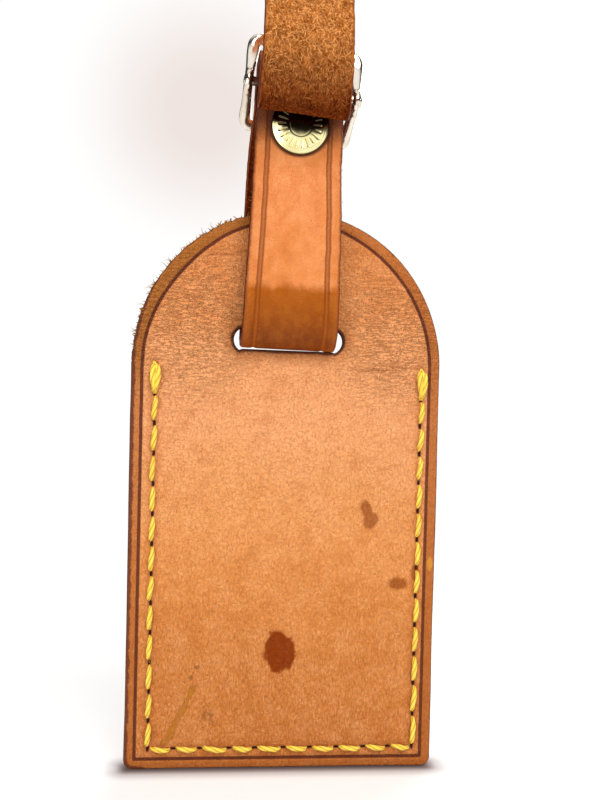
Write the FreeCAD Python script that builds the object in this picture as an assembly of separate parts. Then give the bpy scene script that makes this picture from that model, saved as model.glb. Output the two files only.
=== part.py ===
import FreeCAD, Part
import math
import os

# Leather luggage tag: two stitched panels holding a windowed address card, with a
# riveted strap that passes through the slot and a small buckle. All sizes in mm.
# Frame: +X across the tag, +Y from the smooth front face to the back, +Z up the tag.
# Origin: middle of the bottom edge, on the glue line between the two leather panels.

os.makedirs("parts", exist_ok=True)
Vector = FreeCAD.Vector

# ---------------------------------------------------------------- panels
TAG_W = 55.0                # tag width
TAG_STRAIGHT = 72.0         # height of the sides, below the round arch
LEATHER = 1.8               # thickness of each panel
CORNER_R = 1.6              # bottom corners
CREASE_INSET = 1.8          # crease line, in from the sides and bottom
CREASE_INSET_TOP = 2.5      # the same on the arch
CREASE_W = 0.5
CREASE_D = 0.25

SLOT_X, SLOT_Z = 0.05, 76.35
SLOT_L, SLOT_H = 19.4, 4.3
ROUND_END_TRIM = 0.01       # keeps a round end's fillet just under half the width

POCKET_H = 73.3             # top edge of the pocket panel
RECESS_X0, RECESS_X1 = -22.0, 22.8
RECESS_Z0 = 5.4
RECESS_D = 0.9
POCKET_X = (RECESS_X0 + RECESS_X1) / 2      # centre of recess, window, notch and card
WINDOW_W, WINDOW_H, WINDOW_R = 36.0, 46.0, 3.0
WINDOW_Z = 33.0
NOTCH_R, NOTCH_D = 10.0, 5.0
THROUGH_Y0, THROUGH_Y1 = -5.0, 5.0          # span of a cutter that passes both panels

FILM_Y, FILM_T, FILM_H = 0.55, 0.3, 55.0
FILM_GAP = 0.3              # film to the recess sides and bottom
CARD_W, CARD_H, CARD_T = 42.6, 63.6, 0.4
CARD_Y, CARD_Z0, CARD_R = 0.1, 5.8, 2.0

# ---------------------------------------------------------------- stitching
LEFT_X, RIGHT_X, BOTTOM_Z = -23.3, 24.2, 3.6
LEFT_Z = [71.4, 66.6, 61.3, 56.0, 50.6, 45.3, 40.0, 34.7, 29.5, 24.3, 19.0, 13.8, 8.6]
RIGHT_Z = [71.2, 66.4, 61.6, 56.6, 51.5, 46.3, 41.1, 36.0, 30.9, 25.7, 20.4, 15.1, 9.5]
BOTTOM_X = [-18.8, -14.2, -8.9, -4.3, 0.8, 5.6, 10.4, 15.3, 19.8]
HOLE_L, HOLE_W = 1.5, 0.95
THREAD_W, THREAD_T = 0.7, 0.8
THREAD_GAP = 0.03           # stitch above the leather
THREAD_LEG = 0.55           # half length of the leg in a hole, along the row
THREAD_LEG_END = 0.12       # leg stops this far from the glue line

# ---------------------------------------------------------------- strap
STRAP_T = 1.9
HALF_T = STRAP_T / 2
HALF_W_SLOT = 8.4           # half widths: at the slot,
HALF_W_RIVET = 7.7          # front run at the rivet,
HALF_W_FOLD = 7.2           # fold round the buckle bar,
HALF_W_BUCKLE = 7.2         # back run through the buckle,
HALF_W_FREE = 7.5           # free tail
LEAN_DEG = 1.65             # the strap leans towards +X, about the slot
LEAN_AT = Vector(-0.15, 0, 76.5)

EYE_Y, EYE_Z = -0.15, 121.3     # centre of the fold
EYE_R = 2.70                    # centreline radius of the fold
OVER_R = 4.75                   # centreline radius of the run that passes over it
BEND_Y, BEND_Z, BEND_R = -8.5, 118.45, 2.2      # lower bend in front of the buckle
PIVOT = (-8.2, 135.2)           # (y, z) where the loop ends and the tail begins
PIVOT_CLEAR_R = 1.15            # hollow in the start of the tail
TAIL_OVERLAP = 0.6              # tail starts this far below the pivot, before the hollow
TIP_Z = 165.0

# Strap centrelines, (y, z)
FLAP = [
    (-0.98, 108.4), (-0.98, 110.5), (-0.98, 113.0), (-0.98, 115.0),
    (-0.9, 116.2), (-0.35, 117.4), (0.6, 118.6), (1.7, 119.8),
]
FRONT_RUN = [
    (-2.9, 119.6), (-2.93, 117.0), (-2.93, 113.0), (-2.95, 108.6), (-3.3, 105.8),
    (-4.15, 102.4), (-4.9, 99.0), (-5.35, 94.0), (-5.45, 87.5), (-5.35, 82.0),
    (-4.95, 78.9), (-4.0, 76.7), (-2.3, 75.75), (-0.4, 75.75),
]
BACK_RUN = [
    (-0.4, 75.75), (1.4, 75.95), (2.9, 76.95), (4.0, 79.0), (4.75, 83.0), (5.05, 88.0),
    (5.1, 94.0), (4.85, 99.0), (3.95, 103.5), (2.75, 107.5), (1.95, 111.0), (1.8, 113.4),
    (2.05, 115.4), (2.75, 117.2), (3.6, 118.6),
]
DOWN_IN_FRONT = [(-5.35, 121.2), (-6.1, 119.9)]
UP_TO_PIVOT = [
    (-11.05, 120.3), (-11.65, 122.3), (-12.0, 124.6), (-11.9, 127.0),
    (-11.25, 129.5), (-10.2, 131.9), (-9.25, 133.6),
]
FREE_TAIL = [
    (-6.6, 137.6), (-4.7, 140.6), (-3.1, 144.0), (-2.0, 148.0),
    (-1.4, 152.5), (-1.2, 157.0), (-1.5, 161.0), (-2.0, TIP_Z),
]

# Strap width seen from the front, (half width, z)
FRONT_WIDTHS = [
    (HALF_W_SLOT, 70), (HALF_W_SLOT, 78), (HALF_W_RIVET, 108),
    (HALF_W_RIVET, 116), (HALF_W_FOLD, 119.5), (HALF_W_FOLD, 130),
]
BACK_WIDTHS = [
    (HALF_W_SLOT, 70), (HALF_W_SLOT, 78), (HALF_W_BUCKLE, 110),
    (HALF_W_BUCKLE, 128), (HALF_W_FREE, 136), (HALF_W_FREE, 140),
]
TAIL_WIDTHS = [
    (HALF_W_FREE, 130), (HALF_W_FREE, TIP_Z - 13), (4.6, TIP_Z - 5.0),
    (1.6, TIP_Z - 0.9), (0, TIP_Z - 0.4),
]

# Opening in the back and top quarter of the fold, for the buckle prong
OPENING_HALF_W = 1.6
OPENING_Y0, OPENING_Y1 = EYE_Y - 0.2, EYE_Y + 4.0
OPENING_Z0, OPENING_Z1 = 119.2, EYE_Z + 3.78

PRONG_HOLE_DEG = 45.0           # place on the run over the fold, up from +Y
PRONG_HOLE_L, PRONG_HOLE_W = 4.8, 3.2
PRONG_HOLE_SHIFT = 0.25         # +X of the buckle centre
SIZING_HOLES_Z = (112.2, 102.2, 92.2)
SIZING_HOLE_L, SIZING_HOLE_W = 4.4, 2.4
BACK_RUN_TOP = 118              # the sizing holes lie on the back run below this

# ---------------------------------------------------------------- rivet
RIVET_Z = 113.8
CAP_R, CAP_EDGE, CAP_DOME = 5.05, 0.5, 0.8
CAP_MARGIN = 0.4                # stretch of strap searched beyond the cap edge
RIVET_GAP = 0.03                # cap and burr to the strap
SHANK_R = 1.2
SHANK_ROOT = 0.1                # shank starts this far in front of the strap
SHANK_END_Y = 0.62
SHANK_CLEAR_STRAP, SHANK_CLEAR_BURR = 0.02, 0.01
PASSAGE_Y0, PASSAGE_Y1 = -4.2, 0.2
BURR_R, BURR_T = 1.85, 0.6

# ---------------------------------------------------------------- buckle
BAR_R, BAR_Z = 0.95, 121.0
BAR_CLEAR = 0.02                # radial, in the frame
BAR_OVERHANG = 0.15             # bar beyond the frame at each end
HEAD_R, HEAD_T, HEAD_GAP = 1.25, 0.42, 0.05
BUCKLE_DX = 0.45                # buckle centre, to the side of the strap centre
BUCKLE_TILT = 3.5               # degrees the buckle leans further than the strap
FRAME_HALF_W = 10.1             # at the bar
FRAME_HALF_W_END = 9.8          # at the top and bottom
FRAME_HALF_H = 8.9
FRAME_BOW = 5.2                 # ends sweep back by this much
FRAME_T = 1.5
FRAME_R, FRAME_R_IN = 2.6, 1.4  # outer and inner corners
RIM_SIDE, RIM_END = 1.6, 2.0    # rim widths
BOW_REACH, BOW_STEPS = 1.1, 16  # bow profile, reach in half heights
BOSS_R, BOSS_INSET = 1.55, 0.05
PRONG_HALF_T, PRONG_HALF_W = 0.55, 0.9
EYELET_R, EYELET_BORE_R, EYELET_HALF_W = 1.62, 1.0, 1.1
PRONG_LINE = [                  # centreline, (y, z)
    (EYE_Y + 0.95, BAR_Z + 1.02), (2.3, 123.3), (4.15, 125.2),
    (5.8, 127.2), (6.6, 128.9), (6.85, 130.3),
]

SAMPLE_STEP = 0.6               # spacing of samples along a centreline


# ---------------------------------------------------------------- shape helpers
def box(x0, x1, y0, y1, z0, z1):
    return Part.makeBox(x1 - x0, y1 - y0, z1 - z0, Vector(x0, y0, z0))


def cylinder_x(radius, x0, x1, y, z):
    return Part.makeCylinder(radius, x1 - x0, Vector(x0, y, z), Vector(1, 0, 0))


def cylinder_y(radius, y0, y1, x, z):
    return Part.makeCylinder(radius, y1 - y0, Vector(x, y0, z), Vector(0, 1, 0))


def extruded_polygon(corners, direction):
    outline = Part.makePolygon(corners + [corners[0]])
    return Part.Face(outline).extrude(direction)


def prism_xz(points, y0, y1):
    """Closed (x, z) outline, extruded from y0 to y1."""
    return extruded_polygon([Vector(x, y0, z) for x, z in points], Vector(0, y1 - y0, 0))


def edges_along_y(shape):
    found = []
    for edge in shape.Edges:
        start, end = edge.Vertexes[0].Point, edge.Vertexes[1].Point
        if abs(start.x - end.x) < 1e-6 and abs(start.z - end.z) < 1e-6:
            found.append(edge)
    return found


def round_rect(x, z, width, height, radius, y0, y1):
    """Block centred on x, z with its four edges along Y rounded."""
    block = Part.makeBox(width, y1 - y0, height, Vector(x - width / 2, y0, z - height / 2))
    return block.makeFillet(radius, edges_along_y(block))


def arc_points(y, z, radius, start_deg, end_deg, steps):
    """(y, z) points on an arc; angles run from +Y towards +Z."""
    points = []
    for i in range(steps + 1):
        angle = math.radians(start_deg + (end_deg - start_deg) * i / steps)
        points.append((y + radius * math.cos(angle), z + radius * math.sin(angle)))
    return points


def spline_yz(points, x=0):
    curve = Part.BSplineCurve()
    curve.interpolate([Vector(x, y, z) for y, z in points])
    return curve


def sample_line(points):
    """Even samples along a spline through the points: (y, z, direction y, direction z)."""
    curve = spline_yz(points)
    count = max(8, int(curve.length() / SAMPLE_STEP))
    samples = []
    for point in curve.discretize(Number=count + 1):
        tangent = curve.tangent(curve.parameter(point))[0]
        samples.append((point.y, point.z, tangent.y, tangent.z))
    return samples


def band(line, half, x0=-12.0, x1=12.0, round_start=False, round_end=False):
    """Strip of the given half thickness round a sampled centreline, from x0 to x1."""
    left = [(y - dz * half, z + dy * half) for y, z, dy, dz in line]
    right = [(y + dz * half, z - dy * half) for y, z, dy, dz in line]

    def end_edge(sample, start, end, sign, is_round):
        start, end = Vector(x0, *start), Vector(x0, *end)
        if not is_round:
            return Part.makeLine(start, end)
        y, z, dy, dz = sample
        nose = Vector(x0, y + sign * dy * half, z + sign * dz * half)
        return Part.Arc(start, nose, end).toShape()

    edges = [
        spline_yz(left, x0).toShape(),
        end_edge(line[-1], left[-1], right[-1], 1, round_end),
        spline_yz(right[::-1], x0).toShape(),
        end_edge(line[0], right[0], left[0], -1, round_start),
    ]
    outline = Part.Wire(Part.__sortEdges__(edges))
    return Part.Face(outline).extrude(Vector(x1 - x0, 0, 0))


# ---------------------------------------------------------------- panels, film and card
def arch_solid(inset, inset_top, y0, y1):
    """Round-topped tag outline, inset from its edge, from y0 to y1."""
    half_w = TAG_W / 2 - inset
    arch_r = TAG_W / 2 - inset_top
    bottom = inset
    r = CORNER_R
    cut_back = r * (1 - math.sqrt(0.5))     # mid-arc point, in from the square corner

    def point(x, z):
        return Vector(x, y0, z)

    left_low, left_high = point(-half_w, bottom + r), point(-arch_r, TAG_STRAIGHT)
    right_low, right_high = point(half_w, bottom + r), point(arch_r, TAG_STRAIGHT)
    foot_left, foot_right = point(-half_w + r, bottom), point(half_w - r, bottom)
    mid_left = point(-half_w + cut_back, bottom + cut_back)
    mid_right = point(half_w - cut_back, bottom + cut_back)
    outline = Part.Wire([
        Part.makeLine(left_low, left_high),
        Part.Arc(left_high, point(0, TAG_STRAIGHT + arch_r), right_high).toShape(),
        Part.makeLine(right_high, right_low),
        Part.Arc(right_low, mid_right, foot_right).toShape(),
        Part.makeLine(foot_right, foot_left),
        Part.Arc(foot_left, mid_left, left_low).toShape(),
    ])
    return Part.Face(outline).extrude(Vector(0, y1 - y0, 0))


def crease(y0, y1):
    outer = arch_solid(CREASE_INSET, CREASE_INSET_TOP, y0, y1)
    inner = arch_solid(CREASE_INSET + CREASE_W, CREASE_INSET_TOP + CREASE_W, y0 - 1, y1 + 1)
    return outer.cut(inner)


def thread_holes():
    def hole(x, z, size_x, size_z):
        return box(x - size_x / 2, x + size_x / 2, THROUGH_Y0, THROUGH_Y1,
                   z - size_z / 2, z + size_z / 2)

    holes = [hole(LEFT_X, z, HOLE_W, HOLE_L) for z in LEFT_Z]
    holes += [hole(RIGHT_X, z, HOLE_W, HOLE_L) for z in RIGHT_Z]
    holes += [hole(x, BOTTOM_Z, HOLE_L, HOLE_W) for x in BOTTOM_X]
    holes += [hole(x, BOTTOM_Z, HOLE_L, HOLE_L) for x in (LEFT_X, RIGHT_X)]
    return Part.makeCompound(holes)


def make_front_panel():
    panel = arch_solid(0, 0, -LEATHER, 0)
    panel = panel.cut(round_rect(SLOT_X, SLOT_Z, SLOT_L, SLOT_H,
                                 SLOT_H / 2 - ROUND_END_TRIM, THROUGH_Y0, THROUGH_Y1))
    panel = panel.cut(crease(-LEATHER - 0.1, -LEATHER + CREASE_D))
    return panel.cut(thread_holes())


def make_pocket_panel():
    """Back panel, hollowed on the glue side, with a window and a notch in its top edge."""
    panel = arch_solid(0, 0, 0, LEATHER).common(box(-40, 40, -1, 5, -1, POCKET_H))
    panel = panel.cut(box(RECESS_X0, RECESS_X1, -1, RECESS_D, RECESS_Z0, POCKET_H + 1))
    panel = panel.cut(round_rect(POCKET_X, WINDOW_Z, WINDOW_W, WINDOW_H, WINDOW_R,
                                 THROUGH_Y0, THROUGH_Y1))
    notch_z = POCKET_H + NOTCH_R - NOTCH_D
    panel = panel.cut(cylinder_y(NOTCH_R, THROUGH_Y0, THROUGH_Y1, POCKET_X, notch_z))
    return panel.cut(thread_holes())


def make_film():
    return box(RECESS_X0 + FILM_GAP, RECESS_X1 - FILM_GAP, FILM_Y, FILM_Y + FILM_T,
               RECESS_Z0 + FILM_GAP, RECESS_Z0 + FILM_H)


def make_card():
    return round_rect(POCKET_X, CARD_Z0 + CARD_H / 2, CARD_W, CARD_H, CARD_R,
                      CARD_Y, CARD_Y + CARD_T)


# ---------------------------------------------------------------- thread
def thread_outline(stations, side):
    """Castellated (place along the row, y) outline: a flat stitch on the face
    between holes, and a leg down into every hole."""
    under = LEATHER + THREAD_GAP
    top = under + THREAD_T
    leg = THREAD_LEG if stations[1] > stations[0] else -THREAD_LEG
    castellation = []
    for station in reversed(stations):
        far, near = station + leg, station - leg
        castellation += [(far, under), (far, THREAD_LEG_END), (near, THREAD_LEG_END), (near, under)]
    # the end legs run straight up to the top, so their outer shoulders are left out
    outline = [(stations[0] - leg, top), (stations[-1] + leg, top)] + castellation[1:-1]
    return [(along, side * depth) for along, depth in outline]


def make_thread(side):
    """Thread on the front (side -1) or the back (side 1)."""
    rows = []
    for x, stations in ((LEFT_X, LEFT_Z), (RIGHT_X, RIGHT_Z)):
        outline = thread_outline(stations + [BOTTOM_Z], side)
        corners = [Vector(x - THREAD_W / 2, y, z) for z, y in outline]
        rows.append(extruded_polygon(corners, Vector(THREAD_W, 0, 0)))
    outline = thread_outline([LEFT_X] + BOTTOM_X + [RIGHT_X], side)
    corners = [Vector(x, y, BOTTOM_Z - THREAD_W / 2) for x, y in outline]
    rows.append(extruded_polygon(corners, Vector(0, 0, THREAD_W)))
    return rows[0].fuse(rows[1:]).removeSplitter()


# ---------------------------------------------------------------- strap
# Riveted flap, fold round the buckle bar, front run, bend into the slot
front_line = sample_line(FLAP + arc_points(EYE_Y, EYE_Z, EYE_R, -8, 188, 10) + FRONT_RUN)
# Back run up behind the fold and over it, down in front, round the lower bend, up to the pivot
back_line = sample_line(
    BACK_RUN
    + arc_points(EYE_Y, EYE_Z, OVER_R, -12, 160, 9)
    + DOWN_IN_FRONT
    + arc_points(BEND_Y, BEND_Z, BEND_R, 0, -180, 8)
    + UP_TO_PIVOT
    + [PIVOT])


def trim_width(strap, widths):
    """Trim a strap to a symmetric outline of (half width, z) rows."""
    left = [(-half_w, z) for half_w, z in widths]
    right = [(half_w, z) for half_w, z in reversed(widths) if half_w > 0]
    return strap.common(prism_xz(left + right, -30, 30))


def oblong_cutter(sample, length, width, x=0.0):
    """Oblong cutter square to the strap at a centreline sample."""
    y, z, dy, dz = sample
    cutter = round_rect(0, 0, width, length, width / 2 - ROUND_END_TRIM,
                        -STRAP_T * 1.1, STRAP_T * 1.1)
    cutter.rotate(Vector(0, 0, 0), Vector(1, 0, 0), math.degrees(math.atan2(-dy, dz)))
    cutter.translate(Vector(x, y, z))
    return cutter


def make_strap_loop():
    front = band(front_line, HALF_T, round_start=True)
    back = band(back_line, HALF_T, round_end=True)
    front = trim_width(front, FRONT_WIDTHS)
    back = trim_width(back, BACK_WIDTHS)
    loop = front.fuse(back).removeSplitter()

    loop = loop.cut(box(BUCKLE_DX - OPENING_HALF_W, BUCKLE_DX + OPENING_HALF_W,
                        OPENING_Y0, OPENING_Y1, OPENING_Z0, OPENING_Z1))
    angle = math.radians(PRONG_HOLE_DEG)
    over_fold = (EYE_Y + OVER_R * math.cos(angle), EYE_Z + OVER_R * math.sin(angle),
                 -math.sin(angle), math.cos(angle))
    loop = loop.cut(oblong_cutter(over_fold, PRONG_HOLE_L, PRONG_HOLE_W,
                                  BUCKLE_DX + PRONG_HOLE_SHIFT))
    back_run = [sample for sample in back_line if sample[0] > 0 and sample[1] < BACK_RUN_TOP]
    for hole_z in SIZING_HOLES_Z:
        nearest = min(back_run, key=lambda sample: abs(sample[1] - hole_z))
        loop = loop.cut(oblong_cutter(nearest, SIZING_HOLE_L, SIZING_HOLE_W))
    # rivet passage through the front run and the flap
    return loop.cut(cylinder_y(SHANK_R + SHANK_CLEAR_STRAP, PASSAGE_Y0, PASSAGE_Y1, 0, RIVET_Z))


def make_strap_tail():
    pivot_y, pivot_z = PIVOT
    # the last points below the pivot carry the loop's direction into the tail
    samples = sample_line(UP_TO_PIVOT[-2:] + [PIVOT] + FREE_TAIL)
    tail = band([sample for sample in samples if sample[1] > pivot_z - TAIL_OVERLAP], HALF_T)
    tail = tail.cut(cylinder_x(PIVOT_CLEAR_R, -20, 20, pivot_y, pivot_z))
    # keep the long piece, without any sliver left below the hollow
    tail = [solid for solid in tail.Solids if solid.BoundBox.ZMax > pivot_z + 5][0]
    return trim_width(tail, TAIL_WIDTHS)


# ---------------------------------------------------------------- rivet
def make_rivet_cap():
    """Domed cap in front of the strap, with the shank behind it."""
    under_cap = [y for y, z, _, _ in front_line if abs(z - RIVET_Z) < CAP_R + CAP_MARGIN]
    strap_y = min(under_cap) - HALF_T       # foremost strap face under the cap
    edge_y = strap_y - RIVET_GAP - CAP_EDGE
    crown_y = edge_y - CAP_DOME
    cap = Part.makeCylinder(CAP_R, CAP_EDGE, Vector(0, edge_y, RIVET_Z), Vector(0, 1, 0))
    sphere_r = (CAP_R ** 2 + CAP_DOME ** 2) / (2 * CAP_DOME)
    dome = Part.makeSphere(sphere_r, Vector(0, crown_y + sphere_r, RIVET_Z))
    dome = dome.common(cylinder_y(CAP_R, crown_y, edge_y, 0, RIVET_Z))
    shank = cylinder_y(SHANK_R, strap_y - SHANK_ROOT, SHANK_END_Y, 0, RIVET_Z)
    return cap.fuse([dome, shank]).removeSplitter()


def make_rivet_burr():
    burr = cylinder_y(BURR_R, RIVET_GAP, RIVET_GAP + BURR_T, 0, RIVET_Z)
    return burr.cut(cylinder_y(SHANK_R + SHANK_CLEAR_BURR, -1, 2, 0, RIVET_Z))


# ---------------------------------------------------------------- buckle, upright about its bar
def frame_block(half_w, half_w_end, half_h, radius, y0, y1):
    """Six-sided block, widest at the bar, with its four end corners rounded."""
    outline = [(-half_w_end, -half_h), (half_w_end, -half_h), (half_w, 0),
               (half_w_end, half_h), (-half_w_end, half_h), (-half_w, 0)]
    block = prism_xz([(x, z + BAR_Z) for x, z in outline], y0, y1)
    corners = [edge for edge in edges_along_y(block)
               if abs(abs(edge.Vertexes[0].Point.x) - half_w_end) < 1e-3]
    return block.makeFillet(radius, corners)


def make_buckle_frame():
    outer = frame_block(FRAME_HALF_W, FRAME_HALF_W_END, FRAME_HALF_H, FRAME_R, -10, 12)
    inner = frame_block(FRAME_HALF_W - RIM_SIDE, FRAME_HALF_W_END - RIM_SIDE,
                        FRAME_HALF_H - RIM_END, FRAME_R_IN, -11, 13)
    ring = outer.cut(inner)
    # bowed slab: smooth-step sweep from the bar back to the frame ends
    bow = []
    for i in range(BOW_STEPS + 1):
        height = -BOW_REACH + 2 * BOW_REACH * i / BOW_STEPS
        u = min(abs(height), 1.0)
        bow.append((EYE_Y + FRAME_BOW * (3 * u * u - 2 * u ** 3), BAR_Z + height * FRAME_HALF_H))
    frame = ring.common(band(sample_line(bow), FRAME_T / 2, -15, 15))
    # bosses at the ends of the bar, bored for it
    boss_l = RIM_SIDE - 2 * BOSS_INSET
    for rim_x in (-FRAME_HALF_W, FRAME_HALF_W - RIM_SIDE):
        boss_x = rim_x + BOSS_INSET
        frame = frame.fuse(cylinder_x(BOSS_R, boss_x, boss_x + boss_l, EYE_Y, BAR_Z))
    frame = frame.removeSplitter()
    return frame.cut(cylinder_x(BAR_R + BAR_CLEAR, -20, 20, EYE_Y, BAR_Z))


def make_buckle_bar():
    bar_end = FRAME_HALF_W + BAR_OVERHANG
    bar = cylinder_x(BAR_R, -bar_end, bar_end, EYE_Y, BAR_Z)
    head_x = FRAME_HALF_W + HEAD_GAP
    heads = [cylinder_x(HEAD_R, x, x + HEAD_T, EYE_Y, BAR_Z) for x in (-head_x - HEAD_T, head_x)]
    return bar.fuse(heads).removeSplitter()


def make_buckle_prong():
    """Eyelet round the bar and a tongue that reaches the top of the frame."""
    tongue = band(sample_line(PRONG_LINE), PRONG_HALF_T, -PRONG_HALF_W, PRONG_HALF_W,
                  round_end=True)
    eyelet = cylinder_x(EYELET_R, -EYELET_HALF_W, EYELET_HALF_W, EYE_Y, BAR_Z)
    prong = tongue.fuse(eyelet).removeSplitter()
    return prong.cut(cylinder_x(EYELET_BORE_R, -3, 3, EYE_Y, BAR_Z))


# ---------------------------------------------------------------- assembly
panel_parts = {
    "front_panel": make_front_panel(),
    "pocket_panel": make_pocket_panel(),
    "window_film": make_film(),
    "address_card": make_card(),
    "front_thread": make_thread(-1),
    "back_thread": make_thread(1),
}
strap_parts = {
    "strap_loop": make_strap_loop(),
    "strap_tail": make_strap_tail(),
    "rivet_cap": make_rivet_cap(),
    "rivet_burr": make_rivet_burr(),
}
buckle_parts = {
    "buckle_frame": make_buckle_frame(),
    "buckle_bar": make_buckle_bar(),
    "buckle_prong": make_buckle_prong(),
}

for shape in buckle_parts.values():
    shape.rotate(Vector(0, EYE_Y, BAR_Z), Vector(0, 1, 0), BUCKLE_TILT)
    shape.translate(Vector(BUCKLE_DX, 0, 0))

# strap, rivet and buckle lean together about the slot
leaning_parts = {**strap_parts, **buckle_parts}
for shape in leaning_parts.values():
    shape.translate(Vector(LEAN_AT.x, 0, 0))
    shape.rotate(LEAN_AT, Vector(0, 1, 0), LEAN_DEG)

for name, shape in {**panel_parts, **leaning_parts}.items():
    if len(shape.Solids) == 1:
        shape = shape.Solids[0]
    shape.exportStep("parts/%s.step" % name)
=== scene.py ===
"""A leather address tag with its strap, rivet and buckle, standing upright on its bottom edge.

X runs across the tag, Z up, and -Y is the side the viewer sees. The arched front panel lies just
in front of y = 0 and the pocket panel, with its window, just behind. The strap hangs in the slot,
folds round the buckle bar and ends in a curled tail. Lengths are millimetres; make_mesh turns
them into metres.
"""
import functools
import math
from collections import Counter

import bmesh
import bpy
import numpy as np
from mathutils import Matrix, Vector


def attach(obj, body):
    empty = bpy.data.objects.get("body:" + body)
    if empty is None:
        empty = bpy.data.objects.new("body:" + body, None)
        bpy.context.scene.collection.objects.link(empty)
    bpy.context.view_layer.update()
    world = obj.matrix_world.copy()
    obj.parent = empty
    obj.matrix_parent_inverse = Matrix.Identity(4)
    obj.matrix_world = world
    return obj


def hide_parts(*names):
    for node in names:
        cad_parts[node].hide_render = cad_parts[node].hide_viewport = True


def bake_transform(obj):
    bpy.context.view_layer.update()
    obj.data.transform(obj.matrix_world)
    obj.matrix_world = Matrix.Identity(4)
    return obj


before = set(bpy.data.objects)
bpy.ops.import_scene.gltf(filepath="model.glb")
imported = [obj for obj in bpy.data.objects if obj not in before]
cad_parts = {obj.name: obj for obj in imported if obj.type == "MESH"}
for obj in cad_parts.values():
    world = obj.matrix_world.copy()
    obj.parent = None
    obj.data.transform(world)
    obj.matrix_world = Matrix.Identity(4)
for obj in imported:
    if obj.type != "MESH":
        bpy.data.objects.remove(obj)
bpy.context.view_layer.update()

MM = 0.001

# ---------------------------------------------------------------- sizes (mm)
TAG_HALF = 55.0 / 2
ARCH_Z = 72.0                      # height where the round top begins
LEATHER = 1.8                      # thickness of one panel
CORNER_R = 1.6

SLOT_X, SLOT_Z, SLOT_LENGTH, SLOT_HEIGHT = 0.05, 76.35, 19.4, 4.3

POCKET_TOP = 73.3
NOTCH_R, NOTCH_DEPTH = 10.0, 5.0   # thumb-shaped dip in the pocket's top edge
RECESS_LEFT, RECESS_RIGHT, RECESS_BOTTOM, RECESS_DEPTH = -22.0, 22.8, 5.4, 0.9
WINDOW_X = 0.4
WINDOW = (WINDOW_X, 33.0, 36.0, 46.0, 3.0)     # centre x, centre z, width, height, corner radius

# stitch holes: two columns and a bottom row
STITCH_LEFT, STITCH_RIGHT, STITCH_BOTTOM = -23.3, 24.2, 3.6
LEFT_HOLES_Z = [71.4, 66.6, 61.3, 56.0, 50.6, 45.3, 40.0, 34.7, 29.5, 24.3, 19.0, 13.8, 8.6]
RIGHT_HOLES_Z = [71.2, 66.4, 61.6, 56.6, 51.5, 46.3, 41.1, 36.0, 30.9, 25.7, 20.4, 15.1, 9.5]
BOTTOM_HOLES_X = [-18.8, -14.2, -8.9, -4.3, 0.8, 5.6, 10.4, 15.3, 19.8]
THREAD_R = 0.47

STRAP_THICK = 1.9
STRAP_MID = STRAP_THICK / 2
LEAN, LEAN_SHIFT, LEAN_PIVOT_Z = math.radians(1.65), -0.15, 76.5   # the strap leans sideways
EYE_Y, EYE_Z, EYE_R, OVER_R = -0.15, 121.3, 2.70, 4.75             # bends round the buckle bar
CURL_Y, CURL_Z, CURL_R = -8.5, 118.45, 2.2                         # bottom bend of the tail
TIP_LENGTH, TIP_HALF = 13.0, 7.5
TIP_R = (TIP_LENGTH ** 2 + TIP_HALF ** 2) / (2 * TIP_HALF)
GROOVE_INSET = 2.28                # pressed double line along the strap's edges

RIVET_Z, CAP_R = 113.8, 5.05
BAR_Z, BUCKLE_SHIFT, BUCKLE_TILT = 120.85, 0.55, math.radians(6.6)
BAR_HALF, RING_HALF_HEIGHT = 10.1, 8.9


# ---------------------------------------------------------------- numeric helpers
@functools.cache
def noise_table(seed):
    return np.random.RandomState(seed).rand(128, 128) * 2 - 1


def value_noise(x, y, seed, scale=1.0):
    table = noise_table(seed)
    x = np.asarray(x, float) * scale + 1000.0
    y = np.asarray(y, float) * scale + 1000.0
    col, row = np.floor(x).astype(int), np.floor(y).astype(int)
    fx, fy = x - col, y - row
    fx = fx * fx * fx * (fx * (6 * fx - 15) + 10)
    fy = fy * fy * fy * (fy * (6 * fy - 15) + 10)
    c0, c1, r0, r1 = col % 128, (col + 1) % 128, row % 128, (row + 1) % 128
    lower = table[c0, r0] * (1 - fx) + table[c1, r0] * fx
    upper = table[c0, r1] * (1 - fx) + table[c1, r1] * fx
    return lower * (1 - fy) + upper * fy


def fractal(x, y, seed, scale=1.0, octaves=3):
    out, weight, total = 0.0, 1.0, 0.0
    for k in range(octaves):
        out = out + weight * value_noise(x, y, seed + k, scale * 2.03 ** k)
        total += weight
        weight *= 0.5
    return out / total


def ease(x, start, end):
    t = np.clip((np.asarray(x, float) - start) / (end - start), 0, 1)
    return t * t * (3 - 2 * t)


def bell(x, width):
    return np.exp(-(np.asarray(x) / width) ** 2)


def soft_max(a, b, width):
    t = np.clip(0.5 + 0.5 * (b - a) / width, 0, 1)
    return a * (1 - t) + b * t + width * t * (1 - t)


def unit(vectors):
    return vectors / np.linalg.norm(vectors, axis=1)[:, None]


def chord_lengths(points):
    return np.r_[0, np.cumsum(np.linalg.norm(np.diff(points, axis=0), axis=1))]


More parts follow.
